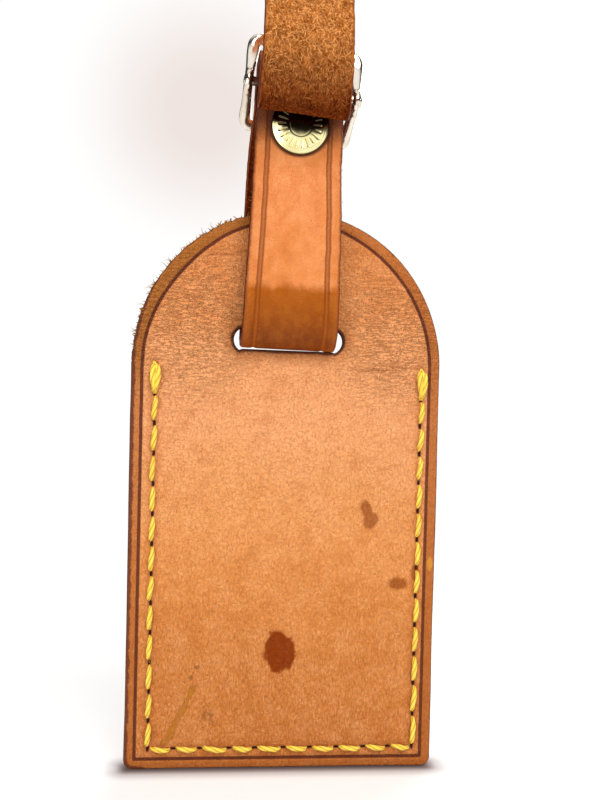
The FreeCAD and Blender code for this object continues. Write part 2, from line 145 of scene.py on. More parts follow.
def spline(points, step):
    """Natural cubic spline through the points, re-sampled evenly; also gives the stations."""
    p = np.array(points, float)
    t = chord_lengths(p)
    n = len(p)
    h = np.diff(t)
    system = np.zeros((n, n))
    target = np.zeros((n, p.shape[1]))
    system[0, 0] = system[-1, -1] = 1
    for i in range(1, n - 1):
        system[i, i - 1:i + 2] = h[i - 1], 2 * (h[i - 1] + h[i]), h[i]
        target[i] = 6 * ((p[i + 1] - p[i]) / h[i] - (p[i] - p[i - 1]) / h[i - 1])
    bend = np.linalg.solve(system, target)

    def evaluate(q):
        i = np.clip(np.searchsorted(t, q, side="right") - 1, 0, n - 2)
        after = (t[i + 1] - q)[:, None]
        before = (q - t[i])[:, None]
        span = h[i][:, None]
        return ((bend[i] * after ** 3 + bend[i + 1] * before ** 3) / (6 * span)
                + (p[i] / span - bend[i] * span / 6) * after
                + (p[i + 1] / span - bend[i + 1] * span / 6) * before)

    knots = np.linspace(0, t[-1], 4000)
    s = chord_lengths(evaluate(knots))
    stations = np.linspace(0, s[-1], max(2, int(round(s[-1] / step))) + 1)
    return evaluate(np.interp(stations, s, knots)), stations


def polar(cy, cz, radius, degrees):
    angle = math.radians(degrees)
    return cy + radius * math.cos(angle), cz + radius * math.sin(angle)


def arc(cy, cz, radius, start, end, steps):
    return [polar(cy, cz, radius, start + (end - start) * i / steps) for i in range(steps + 1)]


def tip_sideways(points, angle, pivot_z, shift):
    points = np.array(points, float)
    x, y, dz = points[..., 0], points[..., 1], points[..., 2] - pivot_z
    c, s = math.cos(angle), math.sin(angle)
    return np.stack([x * c + dz * s + shift, y, pivot_z - x * s + dz * c], -1)


def lean(points):
    """From upright strap coordinates to the leaning strap."""
    return tip_sideways(points, LEAN, LEAN_PIVOT_Z, LEAN_SHIFT)


def buckled(points):
    """From coordinates upright about the buckle bar to the tilted buckle on the strap."""
    return lean(tip_sideways(points, BUCKLE_TILT, BAR_Z, BUCKLE_SHIFT))


# ---------------------------------------------------------------- mesh helpers
def make_mesh(name, points, faces, attributes=None):
    mesh = bpy.data.meshes.new(name)
    mesh.from_pydata((np.asarray(points, float) * MM).tolist(), [], faces)
    mesh.validate(clean_customdata=False)
    for key, values in (attributes or {}).items():
        values = np.asarray(values, np.float32)
        if values.ndim == 2:
            layer = mesh.attributes.new(key, "FLOAT_VECTOR", "POINT")
            layer.data.foreach_set("vector", values.ravel())
        else:
            layer = mesh.attributes.new(key, "FLOAT", "POINT")
            layer.data.foreach_set("value", values)
    mesh.polygons.foreach_set("use_smooth", [True] * len(mesh.polygons))
    mesh.update()
    ob = bpy.data.objects.new(name, mesh)
    bpy.context.scene.collection.objects.link(ob)
    bm = bmesh.new()
    bm.from_mesh(mesh)
    bmesh.ops.recalc_face_normals(bm, faces=bm.faces)
    bm.to_mesh(mesh)
    bm.free()
    return ob


def slab(name, sdf, bounds, step, depths, place, radius, round_steps, wall_steps,
         flip=False, extra=None):
    """A closed sheet with rounded edges and true openings.

    sdf(a, b) is negative inside the sheet, depths(a, b) gives its two faces, and
    place(a, b, depth) puts a point in space.
    """
    a0, a1, b0, b1 = bounds
    na, nb = int(math.ceil((a1 - a0) / step)), int(math.ceil((b1 - b0) / step))
    grid = np.meshgrid(np.linspace(a0, a1, na + 1), np.linspace(b0, b1, nb + 1), indexing="ij")
    a, b = (axis.ravel().copy() for axis in grid)
    cell = 0.5 * ((a1 - a0) / na + (b1 - b0) / nb)
    eps = 2e-3

    def shrunk(a, b):
        return sdf(a, b) + radius

    def outward(a, b):
        ga = (sdf(a + eps, b) - sdf(a - eps, b)) / (2 * eps)
        gb = (sdf(a, b + eps) - sdf(a, b - eps)) / (2 * eps)
        size = np.maximum(np.hypot(ga, gb), 1e-6)
        return ga / size, gb / size

    # grid points close to the rim are moved onto it
    distance = shrunk(a, b)
    snap = np.abs(distance) < 0.5 * cell
    for _ in range(4):
        ga, gb = outward(a[snap], b[snap])
        d = shrunk(a[snap], b[snap])
        a[snap] -= d * ga
        b[snap] -= d * gb
    inside = (distance < 0) | snap
    index = np.arange(len(a)).reshape(na + 1, nb + 1)
    cells = np.stack([index[:-1, :-1], index[1:, :-1], index[1:, 1:], index[:-1, 1:]], -1)
    cells = cells.reshape(-1, 4)
    corners_in = inside[cells].sum(1)

    def area(i, j, k):
        return 0.5 * ((a[j] - a[i]) * (b[k] - b[i]) - (b[j] - b[i]) * (a[k] - a[i]))

    quads = cells[corners_in == 4]
    q0, q1, q2, q3 = quads.T
    quads = quads[area(q0, q1, q2) + area(q0, q2, q3) > 0.15 * cell * cell]
    cut = cells[corners_in == 3]
    tris = cut[inside[cut]].reshape(-1, 3)
    tris = tris[area(*tris.T) > 0.12 * cell * cell]
    faces = [tuple(face) for face in quads.tolist() + tris.tolist()]

    for _ in range(12):  # no vertex may touch the rim twice
        edges = dict.fromkeys((face[i], face[(i + 1) % len(face)])
                              for face in faces for i in range(len(face)))
        rim = [(u, v) for (u, v) in edges if (v, u) not in edges]
        touches = Counter(u for u, v in rim)
        bad = {u for u, count in touches.items() if count > 1}
        if not bad:
            break
        faces = [face for face in faces if not any(v in bad for v in face)]

    used = sorted({v for face in faces for v in face})
    renumber = {v: i for i, v in enumerate(used)}
    fa, fb = a[used], b[used]
    count = len(used)
    front, back = depths(fa, fb)
    faces = [tuple(renumber[v] for v in face) for face in faces]
    rim = [(renumber[u], renumber[v]) for u, v in rim]
    rim_verts = sorted({u for u, v in rim})
    rim_place = {v: i for i, v in enumerate(rim_verts)}
    ga, gb = outward(fa[rim_verts], fb[rim_verts])
    d0, d1 = front[rim_verts], back[rim_verts]

    rings = []                       # outward offset, depth, edge weight
    turns = [(math.pi / 2 * j / round_steps, j / round_steps) for j in range(1, round_steps + 1)]
    for turn, share in turns:
        rings.append((radius * math.sin(turn), d0 + radius * (1 - math.cos(turn)), share))
    for j in range(1, wall_steps):
        w = j / wall_steps
        rings.append((radius, (d0 + radius) * (1 - w) + (d1 - radius) * w, 1.0))
    for turn, share in turns[::-1]:
        rings.append((radius * math.sin(turn), d1 - radius * (1 - math.cos(turn)), share))

    rim_count = len(rim_verts)
    va, vb, depth = [fa, fa], [fb, fb], [front, back]
    edge, side = [np.zeros(count)] * 2, [np.zeros(count), np.ones(count)]
    for m, (offset, ring_depth, share) in enumerate(rings):
        va.append(fa[rim_verts] + offset * ga)
        vb.append(fb[rim_verts] + offset * gb)
        depth.append(ring_depth)
        edge.append(np.full(rim_count, share))
        side.append(np.full(rim_count, (m + 1) / (len(rings) + 1)))
    va, vb, depth = np.concatenate(va), np.concatenate(vb), np.concatenate(depth)

    out = faces + [tuple(v + count for v in face[::-1]) for face in faces]

    def wall_column(v):
        steps = [2 * count + m * rim_count + rim_place[v] for m in range(len(rings))]
        return [v] + steps + [v + count]

    for u, v in rim:
        col_u, col_v = wall_column(u), wall_column(v)
        for m in range(len(col_u) - 1):
            out.append((col_v[m], col_u[m], col_u[m + 1], col_v[m + 1]))
    if flip:
        out = [face[::-1] for face in out]
    attributes = {"pu": np.stack([va, vb, depth], 1), "edge": np.concatenate(edge),
                  "side": np.concatenate(side)}
    if extra:
        attributes.update(extra(va, vb, depth))
    return make_mesh(name, place(va, vb, depth), out, attributes)


def capped_faces(rows, segments):
    """Quads between closed rings, then a fan at each end round the last two points."""
    faces = []
    for i in range(rows - 1):
        for j in range(segments):
            k = (j + 1) % segments
            faces.append((i * segments + j, i * segments + k,
                          (i + 1) * segments + k, (i + 1) * segments + j))
    start, last = rows * segments, (rows - 1) * segments
    for j in range(segments):
        k = (j + 1) % segments
        faces.append((start, k, j))
        faces.append((start + 1, last + j, last + k))
    return faces


def sweep(path, radii, segments, lobes=0, lobe_depth=0.0, twist=0.0):
    """Closed round or lobed section along a path: points, faces, ply, along, around."""
    path = np.array(path, float)
    n = len(path)
    tangent = np.gradient(path, axis=0)
    tangent /= np.maximum(np.linalg.norm(tangent, axis=1), 1e-9)[:, None]
    s = chord_lengths(path)
    across = np.zeros((n, 3))
    u = np.cross(tangent[0], [0.3, 0.2, 0.9])
    for i in range(n):
        u = u - tangent[i] * (u @ tangent[i])
        u /= np.linalg.norm(u)
        across[i] = u
    other = np.cross(tangent, across)
    theta = np.arange(segments) * 2 * math.pi / segments
    phase = theta[None, :] - (s * twist)[:, None]
    ply = np.abs(np.cos(lobes * phase / 2)) if lobes else np.zeros_like(phase)
    reach = radii[:, None] * (1 + lobe_depth * (ply * 2 - 1))
    rings = path[:, None, :] + reach[..., None] * (
        np.cos(theta)[None, :, None] * across[:, None, :]
        + np.sin(theta)[None, :, None] * other[:, None, :])
    ends = [path[0] - tangent[0] * (radii[0] * 0.5), path[-1] + tangent[-1] * (radii[-1] * 0.5)]
    return (np.vstack([rings.reshape(-1, 3), *ends]), capped_faces(n, segments),
            np.r_[ply.ravel(), 0.5, 0.5], np.r_[np.repeat(s, segments), s[0], s[-1]],
            np.r_[np.tile(theta, n), 0, 0])


def hair(points, step, root, tip):
    """A thin tapering filament through a few points."""
    path, _ = spline(points, step)
    return sweep(path, np.linspace(root, tip, len(path)), 5)


def join_parts(name, parts):
    """One mesh from the results of several sweeps, each with its own tint."""
    faces, tint, offset = [], [], 0
    for i, (points, part_faces, *_) in enumerate(parts):
        faces += [tuple(v + offset for v in face) for face in part_faces]
        tint.append(np.full(len(points), (i * 0.6180339) % 1.0))
        offset += len(points)
    points, _, ply, along, around = zip(*parts)
    return make_mesh(name, np.vstack(points), faces, {
        "ply": np.concatenate(ply), "along": np.concatenate(along),
        "around": np.concatenate(around), "tint": np.concatenate(tint)})


def lathe(name, profile, place, segments, relief=None):
    """Closed solid of revolution from (radius, height) pairs that begin and end on the axis."""
    profile = np.array(profile, float)
    theta = np.arange(segments) * 2 * math.pi / segments
    middle = profile[1:-1]
    r, angle = np.meshgrid(middle[:, 0], theta, indexing="ij")
    height = np.repeat(middle[:, 1][:, None], segments, 1)
    if relief is not None:
        height = height + relief(r, angle)
    points = np.stack([r * np.cos(angle), r * np.sin(angle), height], -1).reshape(-1, 3)
    points = np.vstack([points, [0, 0, profile[0, 1]], [0, 0, profile[-1, 1]]])
    return make_mesh(name, place(points), capped_faces(len(middle), segments), {"pu": points})


def squarish_rings(path, half_a, axis_a, half_b, axis_b, power):
    """Superellipse sections of 20 points round a path."""
    theta = np.arange(20) * 2 * math.pi / 20
    c = np.sign(np.cos(theta)) * np.abs(np.cos(theta)) ** (2 / power)
    s = np.sign(np.sin(theta)) * np.abs(np.sin(theta)) ** (2 / power)
    rings = (path[:, None] + half_a[:, None, None] * c[None, :, None] * axis_a[:, None]
             + half_b[:, None, None] * s[None, :, None] * axis_b[:, None])
    return rings.reshape(-1, 3)


# ---------------------------------------------------------------- shader helpers
class Graph:
    """The node tree of a material or world, emptied but for its output."""

    def __init__(self, owner, output="ShaderNodeOutputMaterial"):
        owner.use_nodes = True
        self.owner = owner
        self.tree = owner.node_tree
        self.tree.nodes.clear()
        self.output = self.tree.nodes.new(output)

    def feed(self, socket, value):
        if isinstance(value, Value):
            self.tree.links.new(value.socket, socket)
        else:
            socket.default_value = (*value, 1.0) if socket.type == "RGBA" else value

    def node(self, kind, inputs, out=0, **props):
        """Add a node, feed its inputs by name or number, and give one output."""
        node = self.tree.nodes.new("ShaderNode" + kind)
        for key, value in props.items():
            setattr(node, key, value)
        for key, value in inputs.items():
            self.feed(node.inputs[key], value)
        return Value(self, node.outputs[out])

    def math(self, operation, a, b=None):
        inputs = {0: a} if b is None else {0: a, 1: b}
        return self.node("Math", inputs, operation=operation)

    def attribute(self, name, out="Fac"):
        return self.node("Attribute", {}, out, attribute_name=name)

    def coordinates(self, out="Object"):
        return self.node("TexCoord", {}, out)

    def finish(self, shader):
        self.tree.links.new(shader.socket, self.output.inputs[0])
        return self.owner

    def principled(self, inputs):
        return self.finish(self.node("BsdfPrincipled", inputs))


class Value:
    """A node output; computing with it adds nodes."""

    def __init__(self, graph, socket):
        self.graph, self.socket = graph, socket

    def output(self, key):
        """Another output of the same node."""
        return Value(self.graph, self.socket.node.outputs[key])

    def __add__(self, other):
        return self.graph.math("ADD", self, other)

    def __radd__(self, other):
        return self.graph.math("ADD", other, self)

    def __sub__(self, other):
        return self.graph.math("SUBTRACT", self, other)

    def __rsub__(self, other):
        return self.graph.math("SUBTRACT", other, self)

    def __mul__(self, other):
        return self.graph.math("MULTIPLY", self, other)

    def __truediv__(self, other):
        return self.graph.math("DIVIDE", self, other)

    def __abs__(self):
        return self.graph.math("ABSOLUTE", self)

    def sqrt(self):
        return self.graph.math("SQRT", self)

    def max(self, other):
        return self.graph.math("MAXIMUM", self, other)

    def sway(self, amount):
        """A 0..1 value turned into a signed one."""
        return (self - 0.5) * amount

    def fade(self, over, last=1.0, first=0.0, kind="SMOOTHSTEP"):
        """From first to last while the value goes over a range."""
        return self.graph.node("MapRange", {0: self, 1: over[0], 2: over[1], 3: first, 4: last},
                               interpolation_type=kind)

    def band(self, center, over):
        """Fade with the distance from a centre."""
        return abs(self - center).fade(over=over)

    def vector(self, operation, inputs, out=0):
        return self.graph.node("VectorMath", {0: self, **inputs}, out, operation=operation)

    def stretch(self, x=1.0, y=1.0, z=1.0):
        return self.vector("MULTIPLY", {1: (x, y, z)})

    def xyz(self):
        split = self.graph.node("SeparateXYZ", {0: self})
        return [split.output(i) for i in range(3)]

    def noise(self, scale, detail=2.0, rough=0.5, distortion=0.0, out=0):
        return self.graph.node("TexNoise", {"Vector": self, "Scale": scale, "Detail": detail,
                                            "Roughness": rough, "Distortion": distortion}, out)

    def voronoi(self, scale, feature="F1"):
        return self.graph.node("TexVoronoi", {"Vector": self, "Scale": scale}, "Distance",
                               feature=feature)

    def ramp(self, stops):
        value = self.graph.node("ValToRGB", {0: self})
        elements = value.socket.node.color_ramp.elements
        while len(elements) < len(stops):
            elements.new(0.5)
        for element, (position, color) in zip(elements, stops):
            element.position = position
            element.color = (*color, 1.0)
        return value

    def mix(self, a, b):
        """Colour a where this mask is 0, colour b where it is 1."""
        return self.graph.node("Mix", {0: self, 6: a, 7: b}, 2, data_type="RGBA")

    def times(self, color):
        return self.graph.node("Mix", {0: 1.0, 6: self, 7: color}, 2, data_type="RGBA",
                               blend_type="MULTIPLY")

    def coat(self, *layers):
        """Lay colours over this one; each layer is (mask, colour)."""
        color = self
        for mask, layer in layers:
            color = mask.mix(color, layer)
        return color

    def bump(self, depth, strength, normal=None):
        """Normals from this height; depth in millimetres."""
        inputs = {"Strength": strength, "Distance": depth * MM, "Height": self}
        if normal is not None:
            inputs["Normal"] = normal
        return self.graph.node("Bump", inputs)


def new_material(name):
    return Graph(bpy.data.materials.new(name))


def blob(place, center, radii, wobble, soft, turn=0.0):
    """Mask of a wobbly-edged ellipse; turn in degrees."""
    c, s = math.cos(math.radians(turn)), math.sin(math.radians(turn))
    dx, dz = place[0] - center[0], place[1] - center[1]
    u = (dx * c + dz * s) / radii[0]
    v = (dz * c - dx * s) / radii[1]
    distance = (u * u + v * v).sqrt()
    return (distance + wobble).fade(over=(1.0 + soft, 1.0 - soft))


# ---------------------------------------------------------------- materials
BURGUNDY = (0.088, 0.018, 0.006)   # painted edges
CREASE = (0.135, 0.024, 0.007)     # pressed line
SCATTER = {"Subsurface Radius": (0.0012, 0.0005, 0.0002), "Subsurface Scale": 1.0}

# panel colour by height in tenths of a metre: partly the leather's own tone, partly a painted
# sheen, lightest between about 46 and 72 mm
PANEL_TONES_AND_SHEEN = [
    (0.00, (0.50, 0.142, 0.018)), (0.12, (0.57, 0.180, 0.028)), (0.30, (0.66, 0.226, 0.046)),
    (0.46, (0.75, 0.300, 0.092)), (0.62, (0.82, 0.352, 0.146)), (0.72, (0.79, 0.330, 0.132)),
    (0.79, (0.72, 0.265, 0.085)), (0.99, (0.65, 0.205, 0.050))]
PANEL_FLESH = [(0.3, (0.30, 0.125, 0.045)), (0.7, (0.62, 0.34, 0.16))]
STRAP_FLESH = [(0.30, (0.07, 0.011, 0.001)), (0.45, (0.26, 0.062, 0.006)),
               (0.56, (0.55, 0.175, 0.030)), (0.70, (0.88, 0.36, 0.10))]


def grain(pos):
    """Pores, the net of cell borders and fine noise of a hide."""
    wander = pos.noise(scale=0.9, out=1).vector("SCALE", {"Scale": 0.7})
    warped = pos.vector("ADD", {1: wander})
    pores = warped.voronoi(scale=2.3)
    cells = warped.stretch(y=0.8).voronoi(scale=1.25, feature="DISTANCE_TO_EDGE")
    return pores, cells.fade(over=(0.0, 0.16)), pos.noise(scale=3.6, detail=3, rough=0.62)


def front_marks(tone, pos, x, z, medium):
    """Stains and scuffs of the front panel; also gives how wet the stains look."""
    place = (x, z)
    wave = pos.noise(scale=0.42, detail=4, rough=0.6).sway(1.1)
    ripple = pos.noise(scale=1.3, detail=3, rough=0.6).sway(0.9)
    drop = blob(place, center=(-0.15, 20.9), radii=(2.75, 3.75), wobble=wave * 0.9,
                soft=0.10, turn=8)
    drop = drop.max(blob(place, center=(-1.9, 20.4), radii=(1.5, 1.3), wobble=wave,
                         soft=0.3) * 0.9)
    # small stains: centre, radii, softness, turn
    small = [blob(place, center, radii, wave, soft, turn) for center, radii, soft, turn in (
        ((14.75, 46.6), (1.0, 1.45), 0.25, 12), ((15.6, 44.5), (1.3, 1.5), 0.25, -20),
        ((20.7, 33.3), (1.6, 1.15), 0.28, 0), ((23.9, 35.0), (0.8, 1.5), 0.35, 0))]
    spots = small[0].max(small[1]).max(small[2].max(small[3]))
    tone = tone.coat((drop * (0.90 + ripple * 0.2), (0.235, 0.026, 0.0)),
                     (spots * (0.66 + ripple * 0.4), (0.26, 0.045, 0.002)))
    # ochre scuff that runs down to the lower left corner, with a darker rim
    off_line = x + (z - 14.8) * -0.49 + 15.35
    scuff = abs(off_line + wave * 1.7).fade(over=(0.78, 0.30)) * z.band(9.5, over=(5.9, 4.7))
    scuff = scuff * pos.stretch(y=0.6).noise(scale=0.8, detail=3).fade(over=(0.36, 0.48))
    scuff_rim = scuff * (1.0 - scuff) * 3.4
    tone = tone.coat((scuff * 0.72, (0.50, 0.178, 0.002)),
                     (scuff_rim * 0.42, (0.32, 0.085, 0.008)))
    smudge = (blob(place, center=(-12.9, 9.6), radii=(1.2, 1.6), wobble=wave, soft=0.5, turn=30)
              * pos.noise(scale=1.6, detail=3).fade(over=(0.42, 0.6)))
    dots = blob(place, center=(-14.9, 18.2), radii=(0.55, 0.32), wobble=ripple, soft=0.3).max(
        blob(place, center=(-15.9, 16.4), radii=(0.4, 0.4), wobble=ripple, soft=0.3))
    ochre = blob(place, center=(26.6, 36.8), radii=(0.5, 1.2), wobble=wave * 0.5, soft=0.3)
    specks = pos.voronoi(scale=0.17).fade(over=(0.050, 0.026)) * medium.fade(over=(0.45, 0.6))
    tone = tone.coat((smudge.max(dots) * 0.6, (0.24, 0.075, 0.02)),
                     (ochre * 0.8, (0.75, 0.32, 0.03)),
                     (specks * 0.55, (0.20, 0.055, 0.015)))
    return tone, drop.max(spots * 0.7)


def panel_leather(name, is_front):
    graph = new_material(name)
    pos = graph.attribute("pu", "Vector")
    x, z, _ = pos.xyz()
    edge, side, inset, crease, hole, slot, stitch = (
        graph.attribute(key)
        for key in ("edge", "side", "inset", "crease", "hole", "slot", "stitch"))
    broad = pos.noise(scale=0.06, detail=3)
    medium = pos.noise(scale=0.35, detail=4, rough=0.6)
    low = z.fade(over=(46.0, 14.0))
    pores, net, fine = grain(pos)
    wrinkles = pos.stretch(x=0.60, y=2.4).noise(scale=0.95, detail=3, rough=0.6, distortion=0.5)
    ridge = abs(wrinkles - 0.5)
    strokes = pos.stretch(x=4.2, y=1.25).noise(scale=1.0, detail=3, rough=0.62, distortion=0.6)
    pebble = pos.stretch(x=1.3, y=0.8).noise(scale=2.1, rough=0.6, distortion=0.5)

    # colour by height with its painted sheen, then blotches, streaks and pores
    tone = ((z + broad.sway(26.0)) / 100.0).ramp(PANEL_TONES_AND_SHEEN).coat(
        (medium.fade(over=(0.42, 0.68), last=0.26), (0.86, 0.40, 0.165)),
        (medium.fade(over=(0.50, 0.30), last=0.26), (0.48, 0.140, 0.026)),
        (strokes.fade(over=(0.48, 0.70)) * (low * 0.22 + 0.12), (0.92, 0.46, 0.18)),
        (strokes.fade(over=(0.50, 0.30)) * (low * 0.40 + 0.16), (0.36, 0.095, 0.014)),
        (pebble.fade(over=(0.52, 0.70), last=0.22), (1.0, 0.52, 0.22)),
        (pebble.fade(over=(0.48, 0.32), last=0.38), (0.44, 0.125, 0.022)),
        (net.fade(over=(0.55, 0.0), last=0.22), (0.40, 0.12, 0.028)),
        (fine.fade(over=(0.47, 0.30), last=0.30), (0.38, 0.12, 0.03)),
        (pores.fade(over=(0.22, 0.05), last=0.30), (0.36, 0.11, 0.026)))

    # wrinkles on both sides of the slot
    wrinkled = blob((x, z), center=(-17.5, 79.0), radii=(9.5, 10.5), wobble=0.0, soft=0.75).max(
        blob((x, z), center=(18.5, 77.0), radii=(7.5, 9.0), wobble=0.0, soft=0.75))
    tone = tone.coat((ridge.fade(over=(0.035, 0.0)) * wrinkled * 0.20, (0.36, 0.105, 0.022)))

    # long soft crease right of the slot, fold line on the upper left of the arch
    waver = pos.noise(scale=0.25).sway(2.2)
    slot_line = (z + waver).band(71.7, over=(0.34, 0.0)) * x.band(18.6, over=(6.4, 3.4))
    fold_line = (z + waver - x * 0.16).band(93.2, over=(0.36, 0.0))
    lines = slot_line.max(fold_line * abs(x + 11.2).fade(over=(5.4, 3.0)))
    if is_front:
        tone = tone.coat((lines * 0.55, (0.36, 0.11, 0.03)))

    # painted shade round the slot, and burgundy edge paint on its lip
    tone = tone.coat(
        (slot.fade(over=(3.2, 0.2), last=0.55), (0.42, 0.13, 0.028)),
        ((slot + medium.sway(0.6)).fade(over=(0.78, 0.36), last=0.92), BURGUNDY))
    tone = tone.times((1.13, 1.13, 1.11))

    # handled border, darkest at the outside; the creased line; the stitch channel; painted shade in
    # the stitch holes
    arch_left = z.fade(over=(66.0, 74.0)) * x.fade(over=(4.0, -4.0))
    rim_waver = (pos.noise(scale=0.8, detail=3).sway(0.8)
                 + x.fade(over=(-26.0, -22.0), first=-0.30, last=0.24))
    tone = tone.coat(
        (crease.fade(over=(0.25, -0.6), last=0.70), (0.46, 0.122, 0.014)),
        (crease.fade(over=(0.2, -0.3)) * (arch_left * 0.70), (0.38, 0.125, 0.012)),
        (crease.fade(over=(0.2, -0.3)) * x.fade(over=(17.0, 24.0), last=0.30),
         (0.42, 0.095, 0.004)),
        (abs(crease + medium.sway(0.12)).fade(over=(0.40, 0.20)) * 0.96, CREASE),
        ((inset + rim_waver).fade(over=(0.55, 0.22), last=0.92), (0.15, 0.032, 0.009)),
        (stitch * 0.30, (0.46, 0.15, 0.035)),
        (hole.fade(over=(0.30, 0.70)), (0.06, 0.012, 0.006)))

    wet = 0.0
    if is_front:
        tone, wet = front_marks(tone, pos, x, z, medium)

    painted = (edge + pos.noise(scale=1.4, detail=3).sway(0.7)).fade(over=(0.38, 0.72))
    flesh = side.fade(over=(0.9, 1.0)) * (1.0 if is_front else 0.0)
    flesh_tone = pos.noise(scale=2.2, detail=4, rough=0.7).ramp(PANEL_FLESH)
    tone = tone.coat((painted, BURGUNDY), (flesh, flesh_tone))

    wrinkle_height = ridge.fade(over=(0.0, 0.06)) * (wrinkled * 0.80 + 0.22) * 1.0
    stroke_height = strokes * (low * 1.3 + 0.35)
    height = (pores.fade(over=(0.0, 0.30)) * 0.55 + net * 0.42
              + (fine * 0.75 + (wrinkle_height + stroke_height))) + pebble * 0.9
    normal = (pos.noise(scale=0.22, detail=3) + lines * -0.25).bump(
        depth=0.34, strength=0.6, normal=height.bump(depth=0.165, strength=1.0))
    rough = (medium * 0.5 + fine * 0.5).fade(over=(0.3, 0.7), first=0.62, last=0.46)
    rough = (rough - crease.fade(over=(0.3, -0.3)) * 0.10).max(0.34)
    specular = (0.22 - graph.math("MULTIPLY", wet, 0.19)) * (1.0 - painted * 0.8)
    return graph.principled({
        "Base Color": tone, "Roughness": rough, "Specular IOR Level": specular,
        "Normal": normal, "Sheen Weight": 0.02, "Sheen Roughness": 0.4,
        "Subsurface Weight": 0.06, **SCATTER})


def strap_leather(name):
    graph = new_material(name)
    pos = graph.attribute("pu", "Vector")
    u, s, _ = pos.xyz()
    edge, side, inset = (graph.attribute(key) for key in ("edge", "side", "inset"))
    broad = pos.stretch(y=0.6).noise(scale=0.09, detail=3)
    medium = pos.stretch(y=0.8).noise(scale=0.42, detail=4, rough=0.6)
    pores, net, fine = grain(pos)
    streaks = pos.stretch(x=1.9, y=0.45).noise(scale=1.6, detail=3, rough=0.6)
    tone = broad.fade(over=(0.35, 0.65)).mix((0.70, 0.205, 0.038), (0.78, 0.262, 0.072)).coat(
        (medium.fade(over=(0.45, 0.70), last=0.35), (0.86, 0.37, 0.14)),
        (medium.fade(over=(0.50, 0.28), last=0.38), (0.50, 0.13, 0.022)))

    # darker, glossier part of the strap to either side of the slot
    reach = MARKS["near_slot"]
    ragged = pos.noise(scale=0.5, detail=3).sway(2.6)
    near_slot = (s + ragged).band(MARKS["slot"], over=(reach + 1.0, reach - 1.0))
    near_slot_tone = s.band(MARKS["slot"], over=(reach, 3.0)).mix((0.365, 0.082, 0.0), (0.16, 0.026, 0.0))
    near_slot_tone = near_slot_tone.coat((medium.fade(over=(0.40, 0.68), last=0.30), (0.46, 0.125, 0.002)))
    specks = pos.voronoi(scale=0.33).fade(over=(0.075, 0.04)) * medium.fade(over=(0.42, 0.6))
    tone = tone.coat(
        (near_slot * 0.92, near_slot_tone),
        (fine.fade(over=(0.46, 0.30), last=0.24), (0.42, 0.11, 0.02)),
        (pores.fade(over=(0.20, 0.04), last=0.26), (0.36, 0.09, 0.018)),
        (specks * 0.5, (0.24, 0.06, 0.012)))

    # pressed double line along both edges; painted shade under the curl above and a painted shadow
    # ring round the rivet
    off_groove = abs(inset + medium.sway(0.10) - GROOVE_INSET)
    groove = off_groove.fade(over=(0.52, 0.30))
    edge_waver = pos.noise(scale=1.2, detail=3).sway(0.5)
    shade = (s + medium.sway(1.5)).fade(over=(MARKS["shade_low"], MARKS["shade_high"]))
    rivet = MARKS["rivet"]
    rivet_distance = (u * u + (s - rivet) * (s - rivet)).sqrt()
    tone = tone.coat(
        (groove * 0.76, (0.38, 0.090, 0.006)),
        (off_groove.band(0.34, over=(0.26, 0.08)) * 0.60, (0.22, 0.042, 0.004)),
        (inset.fade(over=(1.9, 0.4), last=0.30), (0.52, 0.15, 0.022)),
        ((inset + edge_waver).fade(over=(0.62, 0.20), last=0.85), (0.28, 0.06, 0.012)),
        (shade * 0.86, (0.10, 0.016, 0.002)),
        (rivet_distance.fade(over=(5.75, 5.15)) * 0.85, (0.07, 0.012, 0.003)))

    # flesh side, with painted light and shade along the tail: dark at the bottom of the curl,
    # lighter higher up, and somewhat darker again further up
    dark, light = MARKS["nap_shaded"], MARKS["nap_lit"]
    fibre = pos.stretch(x=1.5, y=0.55).noise(scale=1.5, detail=5, rough=0.7, distortion=1.2)
    clump = pos.noise(scale=0.45, detail=4, rough=0.65)
    lit = (s + clump.sway(6.0)).fade(over=(dark, light))
    flesh = (fibre * 0.65 + clump * 0.35).ramp(STRAP_FLESH)
    flesh = flesh.times(lit.mix((0.37, 0.165, 0.045), (1.17, 1.29, 1.50)))
    flesh = flesh.coat((s.fade(over=(light + 3.0, light + 8.0), last=0.25), (0.40, 0.125, 0.024)))
    is_flesh = side.fade(over=(0.78, 0.97))
    painted = ((edge + pos.noise(scale=1.3, detail=3).sway(0.7)).fade(over=(0.35, 0.75))
               * side.fade(over=(1.0, 0.86)))
    tone = tone.coat((is_flesh, flesh), (painted, (0.11, 0.022, 0.007)))

    hide_height = (pores.fade(over=(0.0, 0.30)) * 0.5 + net * 0.35
                   + (fine * 0.7 + streaks * 0.3))
    flesh_height = fibre * 2.2 + pos.noise(scale=3.2, detail=4, rough=0.7) * 1.4
    surface = graph.node("Mix", {0: is_flesh, 4: hide_height.bump(depth=0.115, strength=0.95),
                                 5: flesh_height.bump(depth=0.22, strength=0.9)},
                         1, data_type="VECTOR")
    rough = is_flesh.mix(near_slot.mix((0.44,) * 3, (0.36,) * 3), (0.92,) * 3)
    rough = rough.coat((painted * 0.8, (0.50,) * 3))
    matt = (is_flesh * 0.8).max(near_slot * 0.62).max(painted * 0.8)
    return graph.principled({
        "Base Color": tone, "Roughness": rough, "Specular IOR Level": (1.0 - matt) * 0.26,
        "Normal": (groove * -1.0).bump(depth=0.06, strength=0.5, normal=surface),
        "Subsurface Weight": 0.05, **SCATTER})


